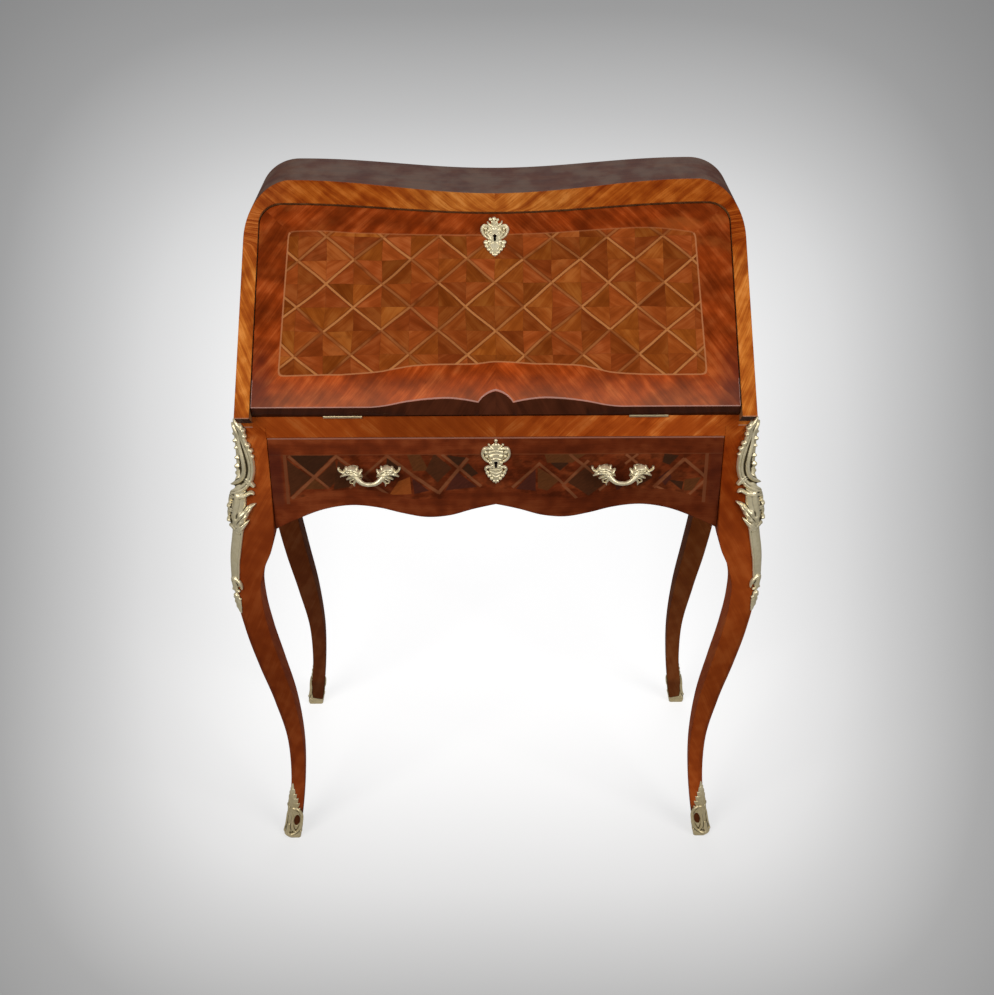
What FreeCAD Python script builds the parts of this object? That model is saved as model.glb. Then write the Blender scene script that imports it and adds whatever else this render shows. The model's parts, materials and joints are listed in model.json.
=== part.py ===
import FreeCAD, Part
import math
import os

V = FreeCAD.Vector

# Writing desk with a slanted fall front, one drawer and four cabriole legs.
# Millimetres. +Z is up, the front faces -Y, the floor is Z = 0, and the
# origin is the middle of the desk's whole width and depth.

# Driving sizes of the whole desk
case_width = 690.0
case_depth = 342.0
bed_height = 734.0
side_thick = 20.0
slant_degrees = 43.5
fall_thick = 20.0
fall_recess = 2.5
opening_rise_on_slope = 291.5
opening_shoulder_rise = 15.0
opening_corner = 30.0
top_thick = 19.5
top_shoulder_rise = 15.0
top_corner = 62.0
split_share = 1.25
bed_thick = 16.0
post_size = 37.0
frieze_height = 31.8
drawer_end_height = 142.2
side_swing = 25.0
front_swing = 18.0
pull_reach = 30.0
overrun = 40.0

# Clearances
pivot_gap = 0.5
end_gap = 0.3
fall_gap = 1.0
drawer_gap = 0.8
slide_gap = 0.4
pin_play = 0.05
barrel_gap = 0.4

# Places worked out from the driving sizes
half_width = case_width / 2
inner_half = half_width - side_thick
post_inner = half_width - post_size
overall_depth = pull_reach + case_depth + front_swing
front_y = pull_reach - overall_depth / 2
back_y = front_y + case_depth
middle_y = front_y + case_depth / 2
case_top = bed_height - bed_thick
drawer_top = bed_height - frieze_height
leg_height = drawer_top - drawer_end_height
slant = math.radians(slant_degrees)
frame_depth = fall_thick + fall_recess
X_AXIS = V(1, 0, 0)
Y_AXIS = V(0, 1, 0)
Z_AXIS = V(0, 0, 1)
UP_SLOPE = V(0, math.cos(slant), math.sin(slant))
OUT_SLOPE = V(0, -math.sin(slant), math.cos(slant))
PIVOT = V(0, front_y - pivot_gap, bed_height)

made = {}


def save(name, shape):
    """Keep one finished piece under its name."""
    made[name] = shape


def box(x0, x1, y0, y1, z0, z1):
    """Box between two values on each axis."""
    return Part.makeBox(x1 - x0, y1 - y0, z1 - z0, V(x0, y0, z0))


def on_slope(x, s, n):
    """Point x across, s up the slope from the pivot line and n outward."""
    return V(x, PIVOT.y, PIVOT.z) + UP_SLOPE * s + OUT_SLOPE * n


def closed_prism(edges, travel):
    """Solid swept by a closed flat outline."""
    return Part.Face(Part.Wire(Part.__sortEdges__(edges))).extrude(travel)


def line(a, b):
    """Straight edge."""
    return Part.LineSegment(a, b).toShape()


def arc(a, b, c):
    """Edge of a circle through three points."""
    return Part.Arc(a, b, c).toShape()


def curve(points):
    """Smooth edge through points."""
    spline = Part.BSplineCurve()
    spline.interpolate(points)
    return spline.toShape()


def loop_of(points):
    """Closed chain of straight edges."""
    return [line(a, b) for a, b in zip(points, points[1:] + points[:1])]


def slope_box(x0, x1, s0, s1, n0, n1):
    """Box squared to the slanted front."""
    corners = [on_slope(x, s, n0) for x, s in ((x0, s0), (x1, s0), (x1, s1), (x0, s1))]
    return closed_prism(loop_of(corners), OUT_SLOPE * (n1 - n0))


def mirrored(shape):
    """Same piece on the other side of the desk."""
    return shape.mirror(V(0, 0, 0), X_AXIS)


def front_to_back(shape):
    """Same piece at the other end of the case's depth."""
    return shape.mirror(V(0, middle_y, 0), Y_AXIS)


def cut_all(shape, tools):
    """Shape with every tool taken away."""
    for tool in tools:
        shape = shape.cut(tool)
    return shape


def fused(shapes):
    """One solid from overlapping shapes."""
    whole = shapes[0]
    for shape in shapes[1:]:
        whole = whole.fuse(shape)
    return whole.removeSplitter()


# Cabriole legs
# Each is sawn from one square post with a front and a side template, and its
# outer corner is canted. Rows: height as a share of the leg, then how far the
# outer face stands out, as a share of the side swing and of the front swing.
outer_leg_shares = (
    (1.143, 0.0, 0.0), (1.0, 0.60, 0.56), (0.90, 0.94, 0.90), (0.80, 0.96, 0.97),
    (0.70, 0.70, 0.78), (0.58, 0.20, 0.39), (0.45, -0.46, 0.0), (0.30, -1.0, -0.19),
    (0.18, -0.98, -0.08), (0.08, -0.72, 0.28), (0.0, -0.44, 0.61),
)
# Rows: height share, then how far the inner face lies in from the case's
# face, as shares of the post's size, seen from the front and from the side.
inner_leg_shares = (
    (1.0, 1.0, 1.0), (0.955, 0.87, 0.892), (0.905, 0.56, 0.676), (0.848, 0.34, 0.527),
    (0.786, 0.35, 0.527), (0.70, 0.50, 0.595), (0.58, 0.81, 0.757), (0.45, 1.155, 0.838),
    (0.30, 1.325, 0.743), (0.18, 1.243, 0.635), (0.08, 1.08, 0.46), (0.0, 0.892, 0.297),
)
corner_cant = 7.0
sabot_floor = 4.0


def leg_height_at(share):
    """Height above the floor, so that the leg ends inside its sabot."""
    return sabot_floor + (leg_height - sabot_floor) * share


def leg_template(outer, inner, top, place, travel):
    """Prism of one sawn outline; place turns (out, height) into a point."""
    first_outer = outer[0]
    first_inner = inner[0]
    last_outer = outer[-1]
    last_inner = inner[-1]
    edges = [curve([place(out, z) for z, out in outer])]
    edges.append(line(place(first_outer[1], first_outer[0]), place(first_outer[1], top)))
    edges.append(line(place(first_outer[1], top), place(-post_size, top)))
    edges.append(line(place(-post_size, top), place(first_inner[1], first_inner[0])))
    edges.append(curve([place(out, z) for z, out in inner]))
    edges.append(line(place(last_inner[1], last_inner[0]), place(last_outer[1], last_outer[0])))
    return closed_prism(edges, travel)


def leg_solid(grow, top):
    """Front right leg up to the height top, its outer faces moved out by grow."""
    side_rows = [(leg_height_at(h), a * side_swing + grow) for h, a, b in outer_leg_shares]
    front_rows = [(leg_height_at(h), b * front_swing + grow) for h, a, b in outer_leg_shares]
    side_inner = [(leg_height_at(h), -a * post_size) for h, a, b in inner_leg_shares]
    front_inner = [(leg_height_at(h), -b * post_size) for h, a, b in inner_leg_shares]
    seen_from_front = leg_template(
        side_rows, side_inner, top,
        lambda out, z: V(half_width + out, front_y - overrun - overrun, z),
        V(0, case_depth / 2, 0))
    seen_from_side = leg_template(
        front_rows, front_inner, top,
        lambda out, z: V(post_inner - overrun, front_y - out, z),
        V(case_depth / 2, 0, 0))
    leg = seen_from_front.common(seen_from_side)
    # The cant is a third template, seen square to the corner's diagonal.
    diagonal = V(1, -1, 0).normalize()
    across = V(1, 1, 0).normalize()
    root = math.sqrt(2)
    reach = [(z, (a + b - corner_cant) / root) for (z, a), (y, b) in zip(side_rows, front_rows)]
    corner = V(half_width, front_y, 0) - across * case_depth / 2
    far_in = -(post_size + side_swing) * root - overrun

    def place(out, z):
        return corner + diagonal * out + Z_AXIS * z

    edges = [curve([place(out, z) for z, out in reach])]
    edges.append(line(place(reach[0][1], reach[0][0]), place(reach[0][1], top)))
    edges.append(line(place(reach[0][1], top), place(far_in, top)))
    edges.append(line(place(far_in, top), place(far_in, reach[-1][0])))
    edges.append(line(place(far_in, reach[-1][0]), place(reach[-1][1], reach[-1][0])))
    return leg.common(closed_prism(edges, across * case_depth))


front_right_leg = leg_solid(0, case_top)
corners = {
    "front_right": lambda shape: shape,
    "front_left": mirrored,
    "back_right": front_to_back,
    "back_left": lambda shape: front_to_back(mirrored(shape)),
}

# Sabots, cast bronze shoes with a leaf up the outer corner
sabot_height = 54.0
sabot_wall = 2.2
sabot_leaf_top = 98.0
sabot_leaf_half = 10.0
toe_radius = 7.5
toe_height = 8.0
toe_out = 8.0
eye_radius = 5.2
eye_height = 40.0


def sabot():
    """Shoe over the foot, a pointed leaf, an eye scroll and a rolled toe."""
    diagonal = V(1, -1, 0).normalize()
    across = V(1, 1, 0).normalize()
    foot_middle = V(
        half_width + (outer_leg_shares[-1][1] * side_swing - inner_leg_shares[-1][1] * post_size) / 2,
        front_y - (outer_leg_shares[-1][2] * front_swing - inner_leg_shares[-1][2] * post_size) / 2, 0)
    foot_out = V(
        half_width + outer_leg_shares[-1][1] * side_swing,
        front_y - outer_leg_shares[-1][2] * front_swing, 0)
    shoe_half = (foot_out.x - foot_middle.x) + sabot_wall
    grown = leg_solid(sabot_wall, case_top)
    # The shoe's walls follow the leg on all four sides.
    inward = grown.copy()
    inward.translate(V(-sabot_wall * 2, sabot_wall * 2, 0))
    sheath = grown.fuse(inward)
    low = box(0, case_width, front_y - case_depth, back_y, 0, sabot_height)
    walls = sheath.common(low)
    sole = Part.makeCylinder(shoe_half, sabot_floor, foot_middle)
    # The leaf lies on the outer corner and comes to a point.
    outline = [
        (-sabot_leaf_half, eye_height), (sabot_leaf_half, eye_height),
        (sabot_leaf_half, sabot_height), (0, sabot_leaf_top), (-sabot_leaf_half, sabot_height)]
    base = V(half_width, front_y, 0) - diagonal * case_depth / 2
    points = [base + across * a + Z_AXIS * z for a, z in outline]
    # The corner's diagonal carries the template straight through the leg.
    leaf = closed_prism(loop_of(points), diagonal * case_depth).common(grown)
    toe_middle = foot_out + diagonal * (toe_out - toe_radius) + Z_AXIS * toe_height
    toe = Part.makeSphere(toe_radius, toe_middle)
    toe = toe.common(box(0, case_width, front_y - case_depth, back_y, 0, sabot_height))
    shoe = fused([walls, leaf, sole, toe])
    return shoe.cut(front_right_leg)


right_front_sabot = sabot()

# Corner mounts, long bronze chutes that wrap the two front corners
mount_relief = 8.0
mount_crest = 13.0
mount_length = 303.0
mount_half = 30.0
# Half outline: height below the top as a share of the length, and half width
# as a share of the widest leaf.
mount_shares = (
    (0.0, 0.12), (0.03, 0.50), (0.09, 0.62), (0.14, 0.50), (0.24, 0.66), (0.33, 0.60),
    (0.37, 0.80), (0.42, 0.62), (0.47, 1.0), (0.52, 0.52), (0.56, 0.60), (0.62, 0.36),
    (0.74, 0.27), (0.87, 0.24), (0.90, 0.36), (0.94, 0.30), (1.0, 0.06),
)
mount_top = case_top + mount_crest
slot_top_share = 0.13
slot_bottom_share = 0.30
slot_half = 4.5


def corner_mount():
    """Openwork plate bent round the corner, with a long oval eye. Its crest
    stands up in front of the frame's foot."""
    diagonal = V(1, -1, 0).normalize()
    across = V(1, 1, 0).normalize()
    base = V(half_width, front_y, 0) - diagonal * mount_half
    root = math.sqrt(2)

    def place(a, z):
        return base + across * a + Z_AXIS * z

    right = [(mount_half * w / root, mount_top - mount_length * h) for h, w in mount_shares]
    left = [(-a, z) for a, z in reversed(right)]
    plate = closed_prism(loop_of([place(a, z) for a, z in right + left]), diagonal * case_depth)
    high = mount_top - mount_length * slot_top_share
    low = mount_top - mount_length * slot_bottom_share
    sides = [
        line(place(slot_half, high), place(slot_half, low)),
        arc(place(slot_half, low), place(0, low - slot_half), place(-slot_half, low)),
        line(place(-slot_half, low), place(-slot_half, high)),
        arc(place(-slot_half, high), place(0, high + slot_half), place(slot_half, high))]
    eye = closed_prism(sides, diagonal * case_depth)
    under_foot = box(0, half_width + end_gap, front_y - case_depth, back_y, case_top - end_gap, mount_top)
    shell = leg_solid(mount_relief, mount_top).cut(leg_solid(0, mount_top))
    return shell.common(plate).cut(eye).cut(under_foot)


right_mount = corner_mount()
for corner, moved in corners.items():
    save(corner + "_leg", moved(front_right_leg))
    save(corner + "_sabot", moved(right_front_sabot))
save("right_corner_mount", right_mount)
save("left_corner_mount", mirrored(right_mount))

# Scalloped lower edge, shared by the drawer front and the back apron
# Rows: place across as a share of the half width, and height as a share of
# the rise from the corner to the middle point.
apron_shares = (
    (1.0, 0.0), (0.89, 0.45), (0.77, 0.83), (0.65, 0.985), (0.52, 0.87), (0.42, 0.65),
    (0.31, 0.485), (0.21, 0.55), (0.10, 0.81), (0.0, 1.0),
)
apron_rise = 39.0


def scalloped(half, top, y0, thick):
    """Board whose lower edge is the two-lobed scallop."""
    right = [V(half * a, y0, leg_height + apron_rise * h) for a, h in apron_shares]
    left = [V(-p.x, y0, p.z) for p in right]
    corner_right = V(half, y0, top)
    corner_left = V(-half, y0, top)
    edges = [curve(right), curve(left), line(right[0], corner_right)]
    edges += [line(corner_right, corner_left), line(corner_left, left[0])]
    return closed_prism(edges, V(0, thick, 0))


# Lower case: frieze rail, side aprons, back apron and drawer runners
rail_thick = 20.0
apron_thick = 18.0
side_arch = 40.0
runner_thick = 12.0
runner_reach = 13.0
guide_height = 24.0
side_drop = 8.2
floor_over_scallop = 7.0
stop_width = 40.0
stop_height = 30.0
drawer_back_room = 9.0

drawer_floor = leg_height + apron_rise + floor_over_scallop
side_top = drawer_top - side_drop
rail_low = drawer_top + drawer_gap
rail_mid = box(-post_inner, post_inner, front_y, front_y + rail_thick, rail_low, case_top)
rail_high = box(-inner_half, inner_half, front_y, front_y + rail_thick, case_top, bed_height)
frieze_rail = fused([rail_mid, rail_high])

apron_in = half_width - apron_thick
post_back_y = front_y + post_size
arch_run = case_depth - post_size * 2
arch_count = 12


def side_apron():
    """Right side board between the posts, its lower edge one long arch."""
    points = []
    for i in range(arch_count + 1):
        t = i / arch_count
        rise = side_arch * (1 - math.cos(2 * math.pi * t)) / 2
        points.append(V(apron_in, post_back_y + arch_run * t, leg_height + rise))
    top_front = V(apron_in, post_back_y, case_top)
    top_back = V(apron_in, post_back_y + arch_run, case_top)
    edges = [curve(points), line(points[-1], top_back), line(top_back, top_front)]
    edges.append(line(top_front, points[0]))
    return closed_prism(edges, V(apron_thick, 0, 0))


right_apron = side_apron()
save("right_side_apron", right_apron)
save("left_side_apron", mirrored(right_apron))
back_apron = scalloped(post_inner, case_top, back_y - apron_thick, apron_thick)
save("back_apron", back_apron)

drawer_half = post_inner - drawer_gap
drawer_side_out = drawer_half - drawer_gap * 2
runner_in = drawer_side_out - runner_reach
ledge = box(runner_in, apron_in, post_back_y, post_back_y + arch_run,
            drawer_floor - slide_gap - runner_thick, drawer_floor - slide_gap)
guide = box(drawer_side_out + slide_gap, apron_in, post_back_y, post_back_y + arch_run,
            drawer_floor - slide_gap, drawer_floor + guide_height)
right_runner = fused([ledge, guide])
save("right_drawer_runner", right_runner)
save("left_drawer_runner", mirrored(right_runner))
kicker_low = side_top + slide_gap
right_kicker = box(runner_in, apron_in, post_back_y, post_back_y + arch_run, kicker_low, case_top)
save("right_drawer_kicker", right_kicker)
save("left_drawer_kicker", mirrored(right_kicker))

# Writing bed, the floor of the upper part
back_thick = 10.0
bed = box(-inner_half, inner_half, front_y + rail_thick, back_y - back_thick, case_top, bed_height)

# Upper carcass: two sides, a serpentine top with rounded corners, a back
wave_steps = 10


def serpentine(half, centre, rise, corner, low, place):
    """Closed outline: straight sides, round corners, a top that dips in the
    middle along a cosine. place turns (across, height) into a point."""
    peak = centre + rise
    flat = half - corner
    turn = corner / math.sqrt(2)
    wave = []
    for i in range(-wave_steps, wave_steps + 1):
        x = flat * i / wave_steps
        wave.append(place(x, centre + rise * (1 - math.cos(math.pi * x / flat)) / 2))
    edges = [curve(wave)]
    for side in (-1, 1):
        foot = place(side * half, low)
        spring = place(side * half, peak - corner)
        middle = place(side * (flat + turn), peak - corner + turn)
        edges.append(line(foot, spring))
        edges.append(arc(spring, middle, place(side * flat, peak)))
    edges.append(line(place(-half, low), place(half, low)))
    return edges


frame_top = bed_height + opening_rise_on_slope * math.sin(slant) + frame_depth * math.cos(slant)
top_centre = frame_top + top_thick
top_peak = top_centre + top_shoulder_rise
split_height = top_peak - top_corner * split_share


def outer_point(x, z):
    """Point of the carcass's outline, in front of everything."""
    return V(x, front_y - overrun, z)


block = closed_prism(
    serpentine(half_width, top_centre, top_shoulder_rise, top_corner, case_top, outer_point),
    V(0, case_depth + overrun, 0))

# Side profile: the foot's cut is square to the slope and meets the case's
# front edge, so the frame stands forward of the lower case.
foot_back = V(0, front_y, case_top)
foot_up = (foot_back - V(0, PIVOT.y, PIVOT.z)).dot(UP_SLOPE)
foot_front = on_slope(0, foot_up, frame_depth)
beyond_top = on_slope(0, (top_peak + overrun - foot_front.z) / math.sin(slant) + foot_up, frame_depth)
profile = [
    V(-half_width, foot_back.y, foot_back.z), V(-half_width, foot_front.y, foot_front.z),
    V(-half_width, beyond_top.y, beyond_top.z), V(-half_width, back_y, beyond_top.z),
    V(-half_width, back_y, case_top)]
slanted = closed_prism(loop_of(profile), V(case_width, 0, 0))


def opening_outline(inset, n):
    """Outline of the fall's opening on the slope, made smaller by inset."""
    return serpentine(
        inner_half - inset, opening_rise_on_slope - inset, opening_shoulder_rise,
        opening_corner, -overrun * 2, lambda x, s: on_slope(x, s, n))


hollow = closed_prism(opening_outline(0, frame_depth), V(0, case_depth * 2, 0))
shell = block.common(slanted).cut(hollow)
above = box(-case_width, case_width, front_y - case_depth, back_y + overrun,
            split_height, top_peak + overrun)
top_board = shell.common(above)
sides = shell.cut(above)
right_half = box(0, case_width, front_y - case_depth, back_y + overrun, 0, top_peak + overrun)
right_panel = sides.common(right_half)
save("right_side_panel", right_panel)
save("left_side_panel", mirrored(right_panel))
save("top_board", top_board)

# The back board fills the carcass between bed level and top.
back_zone = box(-half_width, half_width, back_y - back_thick, back_y, case_top, top_peak + overrun)
back_panel = hollow.common(back_zone)
save("back_panel", back_panel)

# Closing fillet under the top, which takes the fall's bolt
fillet_reach = overrun
raised = []
for edge in opening_outline(0, 0):
    lifted = edge.copy()
    lifted.translate(UP_SLOPE * fillet_reach)
    raised.append(lifted)
band = closed_prism(raised, OUT_SLOPE * frame_depth)
band = band.cut(closed_prism(opening_outline(0, 0), OUT_SLOPE * frame_depth))
head_fillet = band.common(hollow)
head_fillet = max(head_fillet.Solids, key=lambda solid: solid.Volume)

# Fall stops, strips on the side panels behind the closed fall
stop_strip = 8.0
stop_low = 40.0
stop_drop = 41.5
right_stop = slope_box(inner_half - stop_strip, inner_half, stop_low,
                       opening_rise_on_slope - stop_drop, -stop_strip - end_gap, -end_gap)
save("right_fall_stop", right_stop)
save("left_fall_stop", mirrored(right_stop))

# Fall, a slab whose lower end runs from a straight land at the hinge line to
# a bow-shaped edge on its outer face
land = 5.0
bow_low = 5.5
bow_reach = 165.0
bow_rise = 13.0
notch_half = 23.0
notch_rise = 24.5
# Rows: place across as a share of the reach, height as a share of the rise.
bow_shares = ((1.0, 0.0), (0.90, 0.14), (0.72, 0.62), (0.54, 0.92), (0.36, 1.0), (0.24, 0.80))
notch_shares = ((0.86, 0.48), (0.5, 0.80), (0.0, 1.0))
tip_share = 0.52


def fall_blank():
    """Slab that fills the opening, with a running gap all round."""
    edges = serpentine(
        inner_half - fall_gap, opening_rise_on_slope - fall_gap, opening_shoulder_rise,
        opening_corner, end_gap, lambda x, s: on_slope(x, s, 0))
    return closed_prism(edges, OUT_SLOPE * fall_thick)


def end_cutter(outer_edge, x0, x1):
    """What is planed off the slab's end below one stretch of its edge."""
    inner_edge = line(on_slope(x0, end_gap, land), on_slope(x1, end_gap, land))
    return Part.makeRuledSurface(inner_edge, outer_edge).extrude(-UP_SLOPE * overrun)


def fall_end():
    """All stretches of the lower edge, from left to right."""
    far = inner_half
    tip = bow_low + bow_rise * tip_share
    cutters = []
    for side in (-1, 1):
        straight = line(on_slope(side * far, bow_low, fall_thick),
                        on_slope(side * bow_reach, bow_low, fall_thick))
        cutters.append(end_cutter(straight, side * far, side * bow_reach))
        bow = [on_slope(side * bow_reach * a, bow_low + bow_rise * h, fall_thick)
               for a, h in bow_shares]
        bow.append(on_slope(side * notch_half, tip, fall_thick))
        cutters.append(end_cutter(curve(bow), side * bow_reach, side * notch_half))
        notch = [on_slope(side * notch_half, tip, fall_thick)]
        notch += [on_slope(side * notch_half * a, bow_low + notch_rise * h, fall_thick)
                  for a, h in notch_shares]
        cutters.append(end_cutter(curve(notch), side * notch_half, 0))
    return cutters


fall_panel = cut_all(fall_blank(), fall_end())

# Writing leather, let into the fall's inner face
leather_thick = 1.2
leather_margin = 40.0
leather_low = 28.0
leather_drop = 55.5
leather = slope_box(-inner_half + leather_margin, inner_half - leather_margin,
                    leather_low, opening_rise_on_slope - leather_drop, 0, leather_thick)
save("writing_leather", leather)

# Locks: a case, a sliding bolt, a keyhole
lock_half = 30.0
lock_height = 42.0
lock_thick = 9.0
bolt_half = 8.0
bolt_thick = 4.0
bolt_length = 26.0
bolt_throw = 8.0
key_radius = 2.2
key_slot = 3.0
key_drop = 7.0
plate_half = 18.0
plate_thick = 1.2


def bolt_slot(x0, x1):
    """Widths of a bolt's slot, the bolt's own plus its play."""
    return x0 - slide_gap, x1 + slide_gap


fall_lock_top = opening_rise_on_slope - fall_gap
fall_lock_low = fall_lock_top - lock_height
fall_lock = slope_box(-lock_half, lock_half, fall_lock_low, fall_lock_top, 0, lock_thick)
bolt_n0 = (lock_thick - bolt_thick) / 2
bolt_n1 = bolt_n0 + bolt_thick
fall_bolt = slope_box(-bolt_half, bolt_half, fall_lock_top - bolt_length, fall_lock_top,
                      bolt_n0, bolt_n1)
slot_x0, slot_x1 = bolt_slot(-bolt_half, bolt_half)
slot_n0, slot_n1 = bolt_slot(bolt_n0, bolt_n1)
fall_bolt_way = slope_box(slot_x0, slot_x1, fall_lock_top - bolt_length - slide_gap,
                          fall_lock_top + bolt_throw + slide_gap, slot_n0, slot_n1)
save("fall_lock", fall_lock.cut(fall_bolt_way))
save("fall_lock_bolt", fall_bolt)
# The mortise runs out through the fall's upper edge, which is curved.
fall_lock_room = slope_box(-lock_half, lock_half, fall_lock_low, fall_lock_top + bolt_throw, 0, lock_thick)
strike = slope_box(-plate_half, plate_half, opening_rise_on_slope,
                   opening_rise_on_slope + plate_thick, bolt_n0 - bolt_thick / 2,
                   bolt_n1 + bolt_thick)
# The fillet's face curves up from the middle, so the strike is bedded flat.
strike_room = slope_box(-plate_half, plate_half, opening_rise_on_slope - plate_thick,
                        opening_rise_on_slope + plate_thick, bolt_n0 - bolt_thick / 2,
                        bolt_n1 + bolt_thick)
head_fillet = head_fillet.cut(strike_room).cut(fall_bolt_way)
save("head_fillet", head_fillet)
save("fall_strike_plate", strike.cut(fall_bolt_way))


def keyhole(place, travel):
    """Round hole over a slot. place turns (across, up) into a point."""
    middle = place(0, 0)
    round_part = Part.makeCylinder(key_radius, travel.Length, middle, travel)
    slot_points = [place(a, b) for a, b in (
        (-key_slot / 2, 0), (key_slot / 2, 0), (key_slot / 2, -key_drop), (-key_slot / 2, -key_drop))]
    return round_part.fuse(closed_prism(loop_of(slot_points), travel))


# Escutcheons: a crowned, scrolled shield outline shared by both
shield_half = 20.5
shield_thick = 3.0
# Rows: share of the half width, share of the height from the low tip.
shield_shares = (
    (0.0, 1.0), (0.12, 0.93), (0.10, 0.86), (0.40, 0.90), (0.36, 0.80), (0.80, 0.84),
    (1.0, 0.72), (0.95, 0.60), (0.66, 0.52), (0.44, 0.46), (0.72, 0.40), (0.74, 0.30),
    (0.50, 0.20), (0.30, 0.10), (0.0, 0.0),
)


def shield(height, place, travel):
    """Plate of the shield outline. place turns (across, up) into a point."""
    right = [(shield_half * a, height * b) for a, b in shield_shares]
    left = [(-a, b) for a, b in reversed(right[1:-1])]
    return closed_prism(loop_of([place(a, b) for a, b in right + left]), travel)


fall_shield_drop = 67.0
fall_shield_height = 61.0
fall_key_drop = 35.5
fall_shield_low = opening_rise_on_slope - fall_shield_drop
fall_key_height = opening_rise_on_slope - fall_key_drop
fall_shield = shield(
    fall_shield_height, lambda a, b: on_slope(a, fall_shield_low + b, fall_thick),
    OUT_SLOPE * shield_thick)
fall_keyhole = keyhole(
    lambda a, b: on_slope(a, fall_key_height + b, lock_thick / 2 + bolt_thick / 2 + slide_gap),
    OUT_SLOPE * (fall_thick + shield_thick + overrun))
save("fall_escutcheon", fall_shield.cut(fall_keyhole))

# Hinges: two brass butts, leaves let in flush, barrel on the hinge line
hinge_middle = 204.0
hinge_length = 52.0
leaf_width = 19.0
leaf_thick = 1.6
barrel_radius = 2.2
pin_radius = 1.0
knuckles = 3
screw_radius = 1.3
screw_head = 2.6
screw_length = 11.0
screw_back = 12.0
screw_spread = 17.0


def barrel(x0, x1, radius):
    """Round bar along the hinge line."""
    return Part.makeCylinder(radius, x1 - x0, V(x0, PIVOT.y, PIVOT.z), X_AXIS)


def screw(head_point, inward):
    """Countersunk screw driven along inward from head_point."""
    cone = Part.makeCone(screw_head, screw_radius, screw_head - screw_radius, head_point, inward)
    return cone.fuse(Part.makeCylinder(screw_radius, screw_length, head_point, inward))


def hinge(middle):
    """Bed leaf, fall leaf, pin, screws of each leaf and the barrel's room."""
    x0 = middle - hinge_length / 2
    step = hinge_length / knuckles
    spans = [(x0 + step * i, x0 + step * (i + 1)) for i in range(knuckles)]
    play = slide_gap / 2
    bed_leaf = box(x0, x0 + hinge_length, PIVOT.y, PIVOT.y + leaf_width, PIVOT.z - leaf_thick, PIVOT.z)
    fall_leaf = slope_box(x0, x0 + hinge_length, 0, leaf_width, 0, leaf_thick)
    room = barrel_radius + barrel_gap
    for i, (a, b) in enumerate(spans):
        if i % 2 == 0:
            fall_leaf = fall_leaf.cut(barrel(a - play, b + play, room))
        else:
            bed_leaf = bed_leaf.cut(barrel(a - play, b + play, room))
    for i, (a, b) in enumerate(spans):
        if i % 2 == 0:
            bed_leaf = bed_leaf.fuse(barrel(a, b, barrel_radius))
        else:
            fall_leaf = fall_leaf.fuse(barrel(a + play, b - play, barrel_radius))
    bore = barrel(x0, x0 + hinge_length, pin_radius + pin_play)
    bed_screws = []
    fall_screws = []
    for offset in (-screw_spread, 0, screw_spread):
        bed_screws.append(screw(V(middle + offset, PIVOT.y + screw_back, PIVOT.z), -Z_AXIS))
        fall_screws.append(screw(on_slope(middle + offset, screw_back, 0), OUT_SLOPE))
    bed_leaf = cut_all(bed_leaf.removeSplitter(), [bore] + bed_screws)
    fall_leaf = cut_all(fall_leaf.removeSplitter(), [bore] + fall_screws)
    pin = barrel(x0, x0 + hinge_length, pin_radius)
    space = barrel(x0 - play, x0 + hinge_length + play, room)
    return bed_leaf, fall_leaf, pin, bed_screws, fall_screws, space


bed_screw_set = []
fall_screw_set = []
rail_tools = []
fall_tools = []
for side_name, side in (("left", -1), ("right", 1)):
    bed_leaf, fall_leaf, pin, bed_screws, fall_screws, space = hinge(side * hinge_middle)
    save(side_name + "_hinge_bed_leaf", bed_leaf)
    save(side_name + "_hinge_fall_leaf", fall_leaf)
    save(side_name + "_hinge_pin", pin)
    bed_screw_set += bed_screws
    fall_screw_set += fall_screws
    x0 = side * hinge_middle - hinge_length / 2
    leaf_room = box(x0, x0 + hinge_length, PIVOT.y, PIVOT.y + leaf_width,
                    PIVOT.z - leaf_thick, PIVOT.z)
    rail_tools += [space, leaf_room] + bed_screws
    fall_tools += [space, slope_box(x0, x0 + hinge_length, 0, leaf_width, 0, leaf_thick)]
    fall_tools += fall_screws
save("hinge_bed_screws", Part.makeCompound(bed_screw_set))
save("hinge_fall_screws", Part.makeCompound(fall_screw_set))

save("fall_panel", cut_all(fall_panel, [leather, fall_lock_room, fall_keyhole] + fall_tools))
save("writing_bed", cut_all(bed, rail_tools))

# Main drawer
front_thick = 20.0
front_proud = 1.0
drawer_wood = 10.0
bottom_thick = 6.0
bottom_up = 3.0
groove_deep = 5.0
back_low = 14.0
drawer_shield_drop = 70.2
drawer_shield_height = 69.0
drawer_key_drop = 38.2

drawer_shield_low = drawer_top - drawer_shield_drop
drawer_key_height = drawer_top - drawer_key_drop
front_face = front_y - front_proud
front_back = front_face + front_thick
box_back = back_y - apron_thick - drawer_back_room
side_in = drawer_side_out - drawer_wood
drawer_bottom = box(-side_in - groove_deep, side_in + groove_deep, front_back - groove_deep,
                    box_back, drawer_floor + bottom_up, drawer_floor + bottom_up + bottom_thick)
right_drawer_side = box(side_in, drawer_side_out, front_back, box_back, drawer_floor, side_top)
right_drawer_side = right_drawer_side.cut(drawer_bottom)
save("right_drawer_side", right_drawer_side)
save("left_drawer_side", mirrored(right_drawer_side))
save("drawer_bottom", drawer_bottom)
save("drawer_back", box(-side_in, side_in, box_back - drawer_wood, box_back,
                        drawer_floor + bottom_up + bottom_thick, side_top - back_low))

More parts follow.
